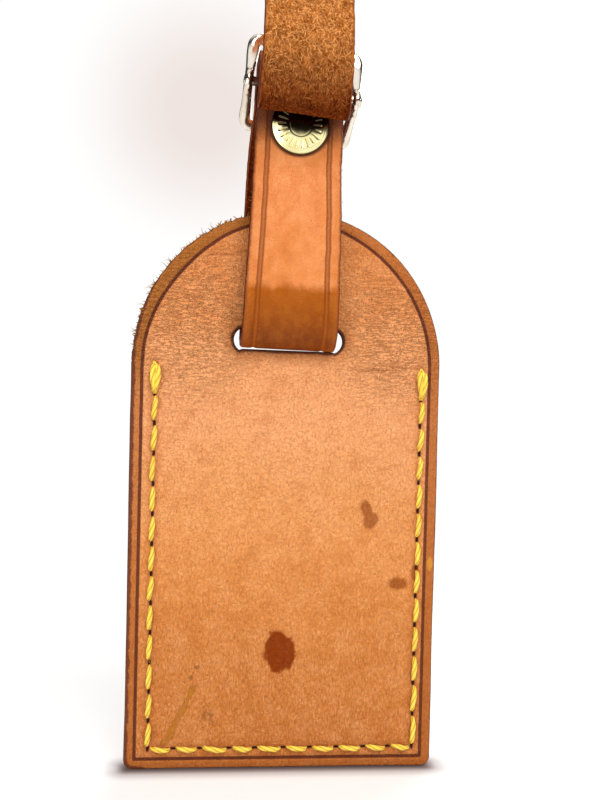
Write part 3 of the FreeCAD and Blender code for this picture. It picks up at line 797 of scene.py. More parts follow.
def fibre_material(name, light, dark, painted_strap_light=False):
    graph = new_material(name)
    color = graph.attribute("tint").mix(dark, light)
    if painted_strap_light:
        # painted light and shade along the strap, as on its flesh side
        lit = graph.attribute("sp").fade(over=(MARKS["nap_shaded"], MARKS["nap_lit"]))
        color = color.times(lit.mix((0.39, 0.175, 0.05), (1.15, 1.25, 1.45)))
    noise = graph.coordinates().noise(scale=2600.0)
    color = color.coat((noise.fade(over=(0.4, 0.7), last=0.35), dark))
    return graph.principled({"Base Color": color, "Roughness": 0.86, "Specular IOR Level": 0.10,
                             "Normal": noise.bump(depth=0.02, strength=0.5)})


def thread_material(name):
    graph = new_material(name)
    ply, along, around = (graph.attribute(key) for key in ("ply", "along", "around"))
    spun = graph.node("CombineXYZ", {0: (around + along * 1.05) * 5.0, 1: along * 0.7, 2: 0.0})
    strands = spun.noise(scale=1.2, detail=4, rough=0.65)
    patches = graph.coordinates().noise(scale=160.0, detail=3)
    # painted shade in the valleys between the plies, lighter on their crests
    color = ply.fade(over=(0.06, 0.72)).mix((0.60, 0.270, 0.005), (1.0, 0.74, 0.065)).coat(
        (strands.fade(over=(0.48, 0.74), last=0.65), (1.0, 0.88, 0.26)),
        (strands.fade(over=(0.5, 0.28), last=0.45), (0.50, 0.20, 0.004)),
        (patches.fade(over=(0.52, 0.72), last=0.45), (0.70, 0.34, 0.02)))
    return graph.principled({
        "Base Color": color, "Roughness": 0.48, "Specular IOR Level": 0.40,
        "Sheen Weight": 0.25, "Sheen Roughness": 0.35,
        "Normal": (strands * 0.7 + ply * 0.5).bump(depth=0.07, strength=0.8)})


def metal_material(name, base, worn, roughness, shaded_rim_radius=None):
    """Brass; with a shaded rim radius it also gets a painted shadow ring there and a painted dark
    reflection over the upper half.
    """
    graph = new_material(name)
    place = graph.coordinates()
    broad = place.noise(scale=220.0, detail=4, rough=0.6)
    scratches = place.stretch(z=0.12).noise(scale=5200.0, rough=0.6)
    spots = place.voronoi(scale=900.0).fade(over=(0.16, 0.08))
    color = broad.fade(over=(0.42, 0.66), last=0.6).mix(base, worn).coat(
        (spots * broad.fade(over=(0.5, 0.62), last=0.5), tuple(c * 0.35 for c in worn)))
    if shaded_rim_radius:
        x, y, _ = graph.attribute("pu", "Vector").xyz()
        # painted shadow ring at the rim and painted dark reflection over the upper half
        ring = (x * x + y * y).sqrt().band(shaded_rim_radius, over=(0.24, 0.12))
        upper_shade = y - x * x * 0.085 + place.noise(scale=420.0, detail=3).sway(1.6)
        color = color.coat((ring * 0.93, (0.05, 0.022, 0.006)),
                           (upper_shade.fade(over=(-2.3, -0.8)) * 0.97, (0.035, 0.020, 0.008)))
    rough = roughness + scratches.sway(0.10) + broad.fade(over=(0.45, 0.7), last=0.10)
    height = scratches * 0.3 + place.noise(scale=800.0) * 1.0
    return graph.principled({"Base Color": color, "Metallic": 1.0, "Roughness": rough,
                             "Normal": height.bump(depth=0.012, strength=0.5),
                             "Specular IOR Level": 0.5})


def film_material(name):
    graph = new_material(name)
    place = graph.coordinates()
    scratches = place.stretch(z=0.1).noise(scale=3000.0, detail=3)
    fresnel = graph.node("Fresnel", {"IOR": 1.46})
    normal = (place.noise(scale=90.0) + scratches * 0.05).bump(depth=0.25, strength=0.5)
    glossy = graph.node("BsdfGlossy", {"Color": (0.95, 0.97, 1.0), "Roughness": 0.07,
                                       "Normal": normal})
    clear = graph.node("BsdfTransparent", {"Color": (0.955, 0.962, 0.955)})
    mirror = graph.math("MINIMUM", fresnel + scratches.fade(over=(0.62, 0.72), last=0.05), 1.0)
    return graph.finish(graph.node("MixShader", {0: mirror, 1: clear, 2: glossy}))


def card_material(name):
    graph = new_material(name)
    pos = graph.attribute("pu", "Vector")
    x, z, _ = pos.xyz()
    fibre = pos.noise(scale=1.6, detail=5, rough=0.7)
    row = graph.math("FRACT", (z - 14.5) / 8.0)
    printed = (row.band(0.5, over=(0.022, 0.012))
               * (x.band(WINDOW_X, over=(15.4, 15.2)) * z.band(30.5, over=(20.2, 20.0))))
    color = fibre.fade(over=(0.35, 0.7)).mix((0.80, 0.74, 0.62), (0.87, 0.82, 0.71)).coat(
        (printed * 0.8, (0.12, 0.10, 0.09)),
        (pos.noise(scale=0.12, detail=3).fade(over=(0.5, 0.75), last=0.35), (0.72, 0.60, 0.42)))
    return graph.principled({"Base Color": color, "Roughness": 0.78, "Specular IOR Level": 0.25,
                             "Normal": fibre.bump(depth=0.03, strength=0.6)})


# ---------------------------------------------------------------- panel outlines and fields
def arch_sdf(x, z):
    """Round-topped tag outline with small bottom corners."""
    top = np.hypot(x, np.maximum(z - ARCH_Z, 0)) - TAG_HALF
    qx, qz = np.abs(x) - (TAG_HALF - CORNER_R), CORNER_R - z
    corner = (np.hypot(np.maximum(qx, 0), np.maximum(qz, 0))
              + np.minimum(np.maximum(qx, qz), 0) - CORNER_R)
    return np.where(z > ARCH_Z, top, np.maximum(np.abs(x) - TAG_HALF, corner))


def rounded_rect(x, z, cx, cz, width, height, radius):
    qx = np.abs(x - cx) - (width / 2 - radius)
    qz = np.abs(z - cz) - (height / 2 - radius)
    return (np.hypot(np.maximum(qx, 0), np.maximum(qz, 0))
            + np.minimum(np.maximum(qx, qz), 0) - radius)


def worn_edge(x, z):
    """Frayed, uneven rim on the left of the arch, slight waver elsewhere."""
    angle = np.degrees(np.arctan2(z - ARCH_Z, x))
    frayed = ease(angle, 92, 105) * (1 - ease(angle, 172, 186)) * (z > ARCH_Z - 4)
    return fractal(x, z, 40, 0.08, 2) * 0.10 + frayed * (0.10 + 0.16 * fractal(x, z, 44, 1.1, 3))


# x, z, and whether the hole lies along the row
HOLES = ([(STITCH_LEFT, z, False) for z in LEFT_HOLES_Z + [STITCH_BOTTOM]]
         + [(STITCH_RIGHT, z, False) for z in RIGHT_HOLES_Z + [STITCH_BOTTOM]]
         + [(x, STITCH_BOTTOM, True) for x in BOTTOM_HOLES_X])


def hole_field(x, z):
    field = np.zeros_like(x)
    for hole_x, hole_z, lying in HOLES:
        m = (np.abs(x - hole_x) < 2.2) & (np.abs(z - hole_z) < 2.2)
        dx, dz = x[m] - hole_x, z[m] - hole_z
        if lying:
            dx, dz = dz, dx
        pit = np.exp(-((dx / 0.30) ** 2 + (dz / 0.78) ** 2) ** 1.3)
        field[m] = np.maximum(field[m], pit)
    return field


def stitch_field(x, z):
    in_columns = (z > STITCH_BOTTOM - 1) & (z < 72.5)
    left = np.where(in_columns, bell(x - STITCH_LEFT, 1.0), 0)
    right = np.where(in_columns, bell(x - STITCH_RIGHT, 1.0), 0)
    in_row = (x > STITCH_LEFT - 1) & (x < STITCH_RIGHT + 1)
    bottom = np.where(in_row, bell(z - STITCH_BOTTOM, 1.0), 0)
    return np.maximum(np.maximum(left, right), bottom)


def slot_sdf(x, z):
    """Strap slot; its lower lip is stretched by the strap that hangs on it."""
    lip = 74.62 - 0.014 * x
    under = 1 - ease(np.abs(x + 0.2), 7.9, 8.9)
    low = SLOT_Z - SLOT_HEIGHT / 2
    opening = rounded_rect(x, z, SLOT_X, SLOT_Z, SLOT_LENGTH, SLOT_HEIGHT, SLOT_HEIGHT / 2 - 0.01)
    return np.maximum(opening, (low + (lip - low) * under) - z)


def crease_inset(x, z):
    """Distance of the creased line from the rim; wider on the shoulders of the arch."""
    angle = np.degrees(np.arctan2(np.maximum(z - ARCH_Z, -6), x))
    return 1.88 + 0.68 * bell(angle - 139, 24) + 0.25 * bell(angle - 42, 26)


def border_relief(crease, depth, width, thinning, swell):
    """Pressed line, a slightly thinner rim outside it and a swelling inside."""
    return (-depth * bell(crease, width) - thinning * ease(-crease, 0.2, 1.8)
            + swell * bell(crease - 0.7, 0.5))


def panel_place(x, z, depth):
    return np.stack([x, depth, z], 1)


PANEL_STEP = 0.30


# ---------------------------------------------------------------- front panel
def front_sdf(x, z):
    return np.maximum(arch_sdf(x, z) + worn_edge(x, z), -slot_sdf(x, z))


def front_depths(x, z):
    crease = -arch_sdf(x, z) - crease_inset(x, z)
    h = border_relief(crease, depth=0.34, width=0.27, thinning=0.10, swell=0.05)
    h -= 0.10 * stitch_field(x, z)
    h -= 0.75 * hole_field(x, z)
    h += 0.07 * fractal(x, z, 60, 0.055, 2)                # slow waves of a used panel
    # wrinkles on both sides of the slot
    wrinkled = (np.exp(-(((x + 17) / 10.5) ** 2 + ((z - 77) / 12) ** 2))
                + np.exp(-(((x - 18) / 9) ** 2 + ((z - 75) / 10) ** 2)))
    folds = fractal(x * 0.34, z, 64, 0.62, 3)
    h -= 0.045 * np.minimum(wrinkled, 1) * (1 - np.minimum(np.abs(folds) * 5, 1))
    # crease right of the slot, fold line on the upper left of the arch
    h -= 0.055 * bell(z - 71.7 + 0.8 * value_noise(x, z, 70, 0.2), 0.5) * bell(x - 18.5, 5.5)
    h -= (0.050 * bell(z - 93.2 - 0.16 * x + 0.8 * value_noise(x, z, 72, 0.2), 0.5)
          * bell(x + 11, 4.5))
    h -= 0.10 * bell(slot_sdf(x, z), 1.1)                  # lips of the slot pulled in
    h += 0.015 * fractal(x, z, 76, 0.9, 3)
    return -LEATHER - h, np.full_like(x, -0.02)


def front_extra(x, z, depth):
    inset = -arch_sdf(x, z)
    return {"inset": np.clip(inset, 0, 40), "crease": inset - crease_inset(x, z),
            "hole": hole_field(x, z) * (depth < -0.9),
            "stitch": stitch_field(x, z) * (z < 72.8), "slot": slot_sdf(x, z)}


front = slab("front_panel_leather", front_sdf, (-28.2, 28.2, -0.6, 100.3), PANEL_STEP,
             front_depths, panel_place, radius=0.5, round_steps=5, wall_steps=2,
             extra=front_extra)


# ---------------------------------------------------------------- pocket panel
POCKET_CREASE, OPENING_CREASE = 1.95, 1.9      # distance of the pressed lines from the edges


def pocket_openings(x, z):
    """Notched top edge and window, both negative where there is leather."""
    notch = NOTCH_R - np.hypot(x - WINDOW_X, z - (POCKET_TOP + NOTCH_R - NOTCH_DEPTH))
    return soft_max(notch, z - POCKET_TOP, 0.8), -rounded_rect(x, z, *WINDOW)


def pocket_sdf(x, z):
    top, window = pocket_openings(x, z)
    return np.maximum(np.maximum(arch_sdf(x, z) + 0.4 * worn_edge(x + 9, z), top), window)


def pocket_depths(x, z):
    top, window = pocket_openings(x, z)
    recess = (ease(x, RECESS_LEFT - 0.15, RECESS_LEFT + 0.35)
              * (1 - ease(x, RECESS_RIGHT - 0.35, RECESS_RIGHT + 0.15))
              * ease(z, RECESS_BOTTOM - 0.15, RECESS_BOTTOM + 0.35))
    h = border_relief(-arch_sdf(x, z) - POCKET_CREASE, depth=0.26, width=0.26, thinning=0.08,
                      swell=0.04)
    h -= 0.12 * bell(-window - OPENING_CREASE, 0.24)
    h -= 0.12 * bell(-top - OPENING_CREASE, 0.24) * (np.abs(x) < 25.2)
    h -= 0.09 * stitch_field(x, z) + 0.7 * hole_field(x, z)
    h += 0.06 * fractal(x, z, 80, 0.05, 2) + 0.014 * fractal(x, z, 84, 0.9, 3)
    return 0.03 + (RECESS_DEPTH - 0.03) * recess, LEATHER + h


def pocket_extra(x, z, depth):
    top, window = pocket_openings(x, z)
    inset = -arch_sdf(x, z)
    crease = np.minimum(np.minimum(inset - POCKET_CREASE, -window - OPENING_CREASE),
                        -top - OPENING_CREASE)
    return {"inset": np.clip(np.minimum(np.minimum(inset, -window), -top), 0, 40),
            "crease": crease, "hole": hole_field(x, z) * (depth > 1.0),
            "stitch": stitch_field(x, z), "slot": np.full_like(x, 50.0)}


pocket = slab("pocket_panel_leather", pocket_sdf, (-28.2, 28.2, -0.6, 74.2), PANEL_STEP * 1.15,
              pocket_depths, panel_place, radius=0.40, round_steps=4, wall_steps=2,
              extra=pocket_extra)


# ---------------------------------------------------------------- window sheet and card
def thin_sheet(name, rect, bounds, step, faces_y, seed, wave_scale, radius):
    def depths(x, z):
        wave = 0.02 * fractal(x, z, seed, wave_scale, 2)
        return faces_y[0] + wave, faces_y[1] + wave

    return slab(name, lambda x, z: rounded_rect(x, z, *rect), bounds, step, depths, panel_place,
                radius=radius, round_steps=2, wall_steps=1)


film_x0, film_x1 = RECESS_LEFT + 0.3, RECESS_RIGHT - 0.3
film_z0, film_z1 = RECESS_BOTTOM + 0.3, RECESS_BOTTOM + 55.0
film = thin_sheet(
    "window_sheet", rect=((film_x0 + film_x1) / 2, (film_z0 + film_z1) / 2,
                          film_x1 - film_x0, film_z1 - film_z0, 1.2),
    bounds=(film_x0 - 0.5, film_x1 + 0.5, film_z0 - 0.5, film_z1 + 0.5),
    step=1.2, faces_y=(0.56, 0.84), seed=90, wave_scale=0.05, radius=0.13)

CARD_BOTTOM, CARD_WIDTH, CARD_HEIGHT = 5.8, 42.6, 63.6
card = thin_sheet(
    "card_sheet", rect=(WINDOW_X, CARD_BOTTOM + CARD_HEIGHT / 2, CARD_WIDTH, CARD_HEIGHT, 2.0),
    bounds=(-21.5, 22.3, 5.2, 70.0),
    step=0.9, faces_y=(0.12, 0.46), seed=93, wave_scale=0.06, radius=0.12)

# ---------------------------------------------------------------- stitching
# first half of a stitch out of its hole: distance from the hole, sideways share, depth
# from y = 0, radius factor; the second half mirrors it
STITCH_RISE = [(0.42, -0.10, 0.45, 0.50), (0.72, -0.8, 1.38, 0.56),
               (1.02, -1.0, 1.98, 0.78), (1.50, -0.8, 2.26, 0.98)]


def stitch_path(rows, side):
    """Centreline of one thread: over the leather between holes, down into every hole."""
    rng = np.random.RandomState(7 if side < 0 else 11)
    points, radii = [], []
    for row in rows:
        for (x0, z0), (x1, z1) in zip(row, row[1:]):
            length = math.hypot(x1 - x0, z1 - z0)
            dx, dz = (x1 - x0) / length, (z1 - z0) / length
            slant = 0.10 + 0.10 * rng.rand()
            shift0, shift1 = (rng.rand(2) - 0.5) * 0.24
            lift = 0.10 * rng.rand()
            stops = (STITCH_RISE + [(length / 2, 0.0, 2.32 + lift, 1.05)]
                     + [(length - q, -share, depth, r) for q, share, depth, r in STITCH_RISE[::-1]])
            for q, share, depth, r in stops:
                off = (share * slant * side
                       + (shift0 * (1 - q / length) + shift1 * q / length))
                points.append((x0 + dx * q - dz * off, side * depth, z0 + dz * q + dx * off))
                radii.append(r * 0.88)
    return points, radii


def thread_strand(points, radii, base_radius):
    """Three-ply twisted thread through the points; radii are factors of base_radius."""
    points = np.array(points)
    path, s = spline(points, 0.13)
    t = chord_lengths(points)
    radius = np.interp(s * t[-1] / s[-1], t, radii) * base_radius
    return sweep(path, radius, 18, lobes=3, lobe_depth=0.12, twist=1.05)


def make_thread(name, side):
    """All stitching on one face; side is -1 at the front and 1 at the back."""
    jitter = np.random.RandomState(3)
    rows = ([(STITCH_LEFT, z) for z in LEFT_HOLES_Z] + [(STITCH_LEFT, STITCH_BOTTOM)],
            [(x, STITCH_BOTTOM) for x in [STITCH_LEFT] + BOTTOM_HOLES_X + [STITCH_RIGHT]],
            [(STITCH_RIGHT, STITCH_BOTTOM)] + [(STITCH_RIGHT, z) for z in RIGHT_HOLES_Z[::-1]])
    moved = {}
    for row in rows:
        for x, z in row:
            if (x, z) not in moved:
                moved[x, z] = (x + (jitter.rand() - 0.5) * 0.22, z + (jitter.rand() - 0.5) * 0.12)
    rows = [[moved[p] for p in row] for row in rows]
    parts = [thread_strand(*stitch_path(rows, side), THREAD_R)]

    # the ends are locked with a second pass over the first stitch of each side
    for x, holes in ((STITCH_LEFT, LEFT_HOLES_Z), (STITCH_RIGHT, RIGHT_HOLES_Z)):
        top, low = holes[:2]
        for dx, dy in ((1.0, 0.0), (-0.9, 0.06)):
            loop = [(x + 0.1 * dx, side * 0.5, top + 0.1),
                    (x + 0.22 * dx, side * 1.7, top + 0.05),
                    (x + 0.50 * dx, side * 2.34, top - 0.8),
                    (x + 0.44 * dx, side * (2.58 + dy), (top + low) / 2 + 0.3),
                    (x + 0.16 * dx, side * 2.45, low + 1.1),
                    (x - 0.12 * dx, side * 1.75, low + 0.35),
                    (x - 0.1 * dx, side * 0.6, low + 0.1)]
            parts.append(thread_strand(loop, [0.6, 0.75, 0.95, 1.0, 0.95, 0.75, 0.6], THREAD_R))
        # cut tail tucked at the top
        tail = [(x - 0.05, side * 1.3, top + 0.05), (x - 0.10, side * 1.95, top + 0.25),
                (x - 0.18, side * 2.12, top + 0.50), (x - 0.28, side * 2.02, top + 0.72)]
        parts.append(thread_strand(tail, [0.6, 0.55, 0.5, 0.35], 0.50))

    # stray filaments
    rng = np.random.RandomState(21 if side < 0 else 22)
    for _ in range(46):
        row = rows[rng.randint(3)]
        i = rng.randint(len(row) - 1)
        q = rng.rand()
        x, z = np.array(row[i]) * (1 - q) + np.array(row[i + 1]) * q
        d = rng.rand(3) - 0.5
        p0 = np.array([x + (rng.rand() - 0.5) * 0.6, side * (2.55 + 0.1 * rng.rand()), z])
        length = 0.3 + 0.6 * rng.rand()
        p1 = p0 + np.array([d[0], side * 0.25 * rng.rand(), d[2]]) * length
        p2 = p1 + np.array([d[2], side * 0.3 * (rng.rand() - 0.3), -d[0]]) * length * 0.8
        parts.append(hair([p0, p1, p2], 0.12, 0.035, 0.012))
    return join_parts(name, parts)


thread_front = make_thread("stitching_front", -1)
thread_back = make_thread("stitching_back", 1)

# ---------------------------------------------------------------- strap
# centreline in the YZ plane, in the order the strap runs
FLAP_LINE = [(-0.98, 108.4), (-0.98, 110.5), (-0.98, 113.0), (-0.98, 115.0), (-0.9, 116.2),
             (-0.35, 117.4), (0.6, 118.6), (1.7, 119.8)]
FRONT_LINE = [(-2.9, 119.6), (-2.93, 117.0), (-2.93, 113.0), (-2.95, 108.6), (-3.3, 105.8),
              (-4.15, 102.4), (-4.9, 99.0), (-5.35, 94.0), (-5.45, 87.5), (-5.35, 82.0),
              (-4.95, 78.9), (-4.0, 76.7), (-2.3, 75.75), (-0.4, 75.75)]
BACK_LINE = [(1.4, 75.95), (2.9, 76.95), (4.0, 79.0), (4.75, 83.0), (5.05, 88.0), (5.1, 94.0),
             (4.85, 99.0), (3.95, 103.5), (2.75, 107.5), (1.95, 111.0), (1.8, 113.4),
             (2.05, 115.4), (2.75, 117.2), (3.6, 118.6)]
DROP_LINE = [(-5.35, 121.2), (-6.1, 119.9)]
TAIL_LINE = [(-11.05, 120.3), (-11.65, 122.3), (-12.0, 124.6), (-11.9, 127.0), (-11.25, 129.5),
             (-10.2, 131.9), (-9.25, 133.6), (-8.2, 135.2), (-6.6, 137.6), (-4.7, 140.6),
             (-3.1, 144.0), (-2.0, 148.0), (-1.4, 152.5), (-1.2, 157.0), (-1.5, 161.0),
             (-2.0, 164.6)]
strap_line, strap_s = spline(
    FLAP_LINE + arc(EYE_Y, EYE_Z, EYE_R, -8, 188, 10) + FRONT_LINE + BACK_LINE
    + arc(EYE_Y, EYE_Z, OVER_R, -12, 160, 9) + DROP_LINE
    + arc(CURL_Y, CURL_Z, CURL_R, 0, -180, 8) + TAIL_LINE, 0.1)
strap_dir = unit(np.gradient(strap_line, axis=0))
STRAP_END = strap_s[-1]


def station(y, z, lo=0.0, hi=1e9):
    """Length along the strap of the centreline point nearest to (y, z)."""
    distance = np.hypot(strap_line[:, 0] - y, strap_line[:, 1] - z)
    distance[~((strap_s >= lo) & (strap_s <= hi))] = 1e9
    return float(strap_s[np.argmin(distance)])


S_SLOT = station(-0.4, 75.75)
S_RIVET = station(-2.93, RIVET_Z, 0, S_SLOT)
S_EYE0 = station(*polar(EYE_Y, EYE_Z, EYE_R, -32), 0, S_SLOT)
S_EYE1 = station(EYE_Y, EYE_Z + EYE_R, 0, S_SLOT)
S_OVER = station(*polar(EYE_Y, EYE_Z, OVER_R, 45), S_SLOT)
S_CURL = station(CURL_Y, CURL_Z - CURL_R, S_OVER)
S_TAIL_BLEND = station(-8.2, 135.2, S_CURL)
S_FRONT_TOP = station(-2.93, 116.5, 0, S_SLOT)
S_BACK_TOP = station(2.05, 115.4, S_SLOT, S_OVER)
S_FLAP = station(-0.98, 115.0, 0, S_EYE0)


def smoothed(values, kernel):
    padded = np.pad(values, len(kernel) // 2, mode="edge")
    return np.convolve(padded, kernel / kernel.sum(), mode="valid")


# half width by height, on the front run and on the rest
front_half = np.interp(strap_line[:, 1], [70, 78, 108, 116, 119.5, 130],
                       [8.4, 8.4, 7.7, 7.7, 7.2, 7.2])
back_half = np.interp(strap_line[:, 1], [70, 78, 100, 112, 117, 128, 136, 170],
                      [8.4, 8.4, 8.5, 8.45, 7.8, 7.65, 7.6, 7.6])
strap_half = smoothed(np.where(strap_s > S_SLOT, back_half, front_half), np.ones(31))

# how the fold follows the tilted bar: station, share of the tilt, drop
COCK = np.array([
    (S_FLAP, 0.0, 0.0), (S_EYE0, 1.0, 0.0), (S_FRONT_TOP - 1.0, 0.6, 0.0),
    (S_FRONT_TOP + 5.5, 0.0, 0.0), (S_BACK_TOP - 2.0, 0.0, 0.0), (S_BACK_TOP + 5.0, 0.8, 0.0),
    (S_CURL - 4.0, 1.0, 0.30), (S_CURL + 3.0, 1.0, 0.33), (S_CURL + 16.0, 0.0, 0.0)])
cock_s = np.linspace(0, STRAP_END, 2400)
cock_share, cock_drop = (smoothed(np.interp(cock_s, COCK[:, 0], COCK[:, i]), np.hanning(61))
                         for i in (1, 2))

# centre station, length, width, x
STRAP_HOLES = [
    (S_OVER, 4.8, 3.2, BUCKLE_SHIFT + 0.25),
    *((station(y, z, S_SLOT, S_OVER), 4.4, 2.4, 0.0)
      for y, z in ((1.85, 112.2), (4.25, 102.2), (5.1, 92.2))),
    ((S_EYE0 + S_EYE1) / 2, S_EYE1 - S_EYE0 + 1.0, 3.2, BUCKLE_SHIFT)]


def half_width(s):
    return np.interp(s, strap_s, strap_half)


def strap_holes(u, s):
    distance = np.full_like(u, 50.0)
    for center, length, width, x in STRAP_HOLES:
        q = np.clip(s - center, -(length - width) / 2, (length - width) / 2)
        distance = np.minimum(distance, np.hypot(u - x, s - center - q) - width / 2)
    return distance


def strap_rim(u, s):
    half = (half_width(s) + 0.06 * value_noise(u * 0 + 3.0 * np.sign(u), s, 110, 0.35)
            + 0.03 * value_noise(u * 0 + 9.0 * np.sign(u), s, 111, 1.2))
    sides = np.abs(u) - half
    flap_end = rounded_rect(u, s, 0, 20.0, 15.5, 40.0, 3.0)
    past = s - (STRAP_END - TIP_LENGTH)
    tip = np.hypot(np.abs(u) + (TIP_R - TIP_HALF), np.maximum(past, 0)) - TIP_R
    tip = soft_max(s - (STRAP_END - 0.4), np.where(past > 0, tip, sides), 1.6)
    return np.where(s < 10, np.maximum(flap_end, sides), np.where(past > 0, tip, sides))


def strap_sdf(u, s):
    return np.maximum(strap_rim(u, s), -strap_holes(u, s))


def strap_depths(u, s):
    inset = -strap_rim(u, s)
    hide = 0.17 * bell(inset - GROOVE_INSET, 0.34)
    hide += 0.05 * ease(-inset, -1.6, -0.1)
    hide += 0.02 * fractal(u, s, 120, 0.3, 3)
    hide += 0.10 * bell(strap_holes(u, s), 0.8)
    nap = ease(s, S_CURL - 3.5, S_CURL + 0.5)
    flesh = (STRAP_THICK + (0.020 + 0.030 * nap) * fractal(u, s, 126, 0.9, 2)
             + (0.015 + 0.075 * nap) * fractal(u * 1.25, s * 0.8, 130, 2.0, 2))
    return hide, flesh


def strap_place(u, s, depth):
    y, z = (np.interp(s, strap_s, strap_line[:, i]) for i in (0, 1))
    dir_y, dir_z = (np.interp(s, strap_s, strap_dir[:, i]) for i in (0, 1))
    size = np.hypot(dir_y, dir_z)
    dir_y, dir_z = dir_y / size, dir_z / size
    beyond = np.minimum(s, 0) + np.maximum(s - STRAP_END, 0)
    y = y + dir_y * beyond
    z = z + dir_z * beyond
    # a used strap cups a little across its width
    cup = (0.10 * (u / 7.5) ** 2 * np.where(s > S_CURL - 4, -1.0, 0.35)
           * ease(np.abs(s - S_OVER), 4, 12))
    k = STRAP_MID - depth + cup
    # the fold is cocked a little by the tilted bar, most at the bottom of the curl
    drop = np.interp(s, cock_s, cock_share) * (0.070 * u + np.interp(s, cock_s, cock_drop))
    return lean(np.stack([u, y + dir_z * k, z - dir_y * k - drop], 1))


def strap_extra(u, s, depth):
    return {"inset": np.clip(-strap_rim(u, s), 0, 20), "hole": strap_holes(u, s)}


strap = slab("strap_leather", strap_sdf, (-9.0, 9.0, -0.6, STRAP_END + 0.6),
             0.25, strap_depths, strap_place, radius=0.42, round_steps=4,
             wall_steps=3, flip=True, extra=strap_extra)

# stations the strap's colours refer to; "near_slot" is a reach to either side of the slot,
# "nap_shaded" and "nap_lit" bound the painted shade and light on the nap
MARKS = {"slot": S_SLOT, "near_slot": S_SLOT - station(-5.45, 85.6, S_RIVET, S_SLOT),
         "nap_shaded": S_CURL - 1.0, "nap_lit": S_CURL + 13.5,
         "shade_high": station(-2.93, 115.2, 0, S_SLOT),
         "shade_low": station(-2.95, 109.5, 0, S_SLOT), "rivet": S_RIVET}


# ---------------------------------------------------------------- fibres on the strap
def fibres(name, u, s, depth, tint, rng, segments, length, radius, lift=(0.05, 0.45)):
    """Many short tapering curled fibres on the flesh side, each a closed three-sided sliver."""
    d = np.full_like(u, depth)
    eps = 0.2
    root = strap_place(u, s, d)
    along = unit(strap_place(u, s + eps, d) - strap_place(u, s - eps, d))
    across = unit(strap_place(u + eps, s, d) - strap_place(u - eps, s, d))
    up = unit(strap_place(u, s, d + eps) - root)
    k, sides = len(u), 3

    angle = rng.randn(k) * 0.8
    angle = np.where(rng.rand(k) < 0.35, rng.rand(k) * 6.283,
                     angle + np.where(rng.rand(k) < 0.5, 0, math.pi))
    heading = np.cos(angle)[:, None] * along + np.sin(angle)[:, None] * across
    lengths = length[0] + (length[1] - length[0]) * rng.rand(k) ** 1.5
    lifts = lift[0] + (lift[1] - lift[0]) * rng.rand(k)
    curl = (rng.rand(k) - 0.5) * 3.4
    sideways = np.cross(up, heading)
    radii = radius[0] + (radius[1] - radius[0]) * rng.rand(k)
    taper = [0.55] + [1.0] * (segments - 1) + [0.25]
    points = []
    for i in range(segments + 1):
        q = i / segments
        turn = curl * q
        direction = heading * np.cos(turn)[:, None] + sideways * np.sin(turn)[:, None]
        rise = lifts * math.sin(math.pi * min(1.0, 0.12 + q * 0.88)) * 0.32 - 0.03
        center = root + direction * (lengths * (q - 0.5))[:, None] + up * rise[:, None]
        for j in range(sides):
            theta = 2 * math.pi * j / sides
            points.append(center + (radii * taper[i])[:, None]
                          * (math.cos(theta) * up * 0.8 + math.sin(theta) * sideways))
    points = np.stack(points, 1)
    per_fibre = points.shape[1]

    walls = [[i * sides + j, (i + 1) * sides + j,
              (i + 1) * sides + (j + 1) % sides, i * sides + (j + 1) % sides]
             for i in range(segments) for j in range(sides)]
    caps = list(range(sides)), list(range(per_fibre - 1, per_fibre - sides - 1, -1))
    first = (np.arange(k) * per_fibre)[:, None, None]
    faces = []
    for pattern in (walls, [caps[0]], [caps[1]]):
        pattern = np.array(pattern)
        faces += (pattern[None] + first).reshape(-1, pattern.shape[1]).tolist()
    return make_mesh(name, points.reshape(-1, 3), faces,
                     {"tint": np.repeat(tint, per_fibre), "sp": np.repeat(s, per_fibre)})


def tail_nap(rng):
    """Nap on the visible flesh side of the tail, densest near the bottom of the curl."""
    count = 7400
    start = S_CURL - 3.2
    u = rng.rand(count) * 2 - 1
    s = start + rng.rand(count) * (STRAP_END - 1.0 - start)
    dense = rng.rand(count) < 0.45
    s = np.where(dense, start + rng.rand(count) * 24.0, s)
    past = np.maximum(s - (STRAP_END - TIP_LENGTH), 0)
    tip = np.maximum(np.sqrt(np.maximum(TIP_R ** 2 - past ** 2, 0)) - (TIP_R - TIP_HALF), 0.0)
    u = u * (np.minimum(half_width(s), tip) - 0.38)
    keep = strap_holes(u, s) > 0.2
    u, s = u[keep], s[keep]
    return fibres("strap_nap", u, s, STRAP_THICK - 0.02, rng.rand(len(u)) ** 1.3, rng,
                  segments=5, length=(0.55, 1.55), radius=(0.050, 0.100))


def inner_nap(rng):
    """Light nap on the hidden flesh faces of the loop."""
    count = 1700
    back_end = station(1.8, 113.4, S_SLOT)
    s = np.where(rng.rand(count) < 0.5,
                 S_RIVET + 4 + rng.rand(count) * (S_SLOT - S_RIVET - 6),
                 S_SLOT + 3 + rng.rand(count) * (back_end - S_SLOT - 8))
    u = (rng.rand(count) * 2 - 1) * (half_width(s) - 0.2)
    return fibres("loop_nap", u, s, STRAP_THICK - 0.01, rng.rand(count), rng, segments=3,
                  length=(0.4, 1.0), radius=(0.03, 0.055), lift=(0.0, 0.18))


nap_rng = np.random.RandomState(5)
nap = tail_nap(nap_rng)
loop_nap = inner_nap(nap_rng)


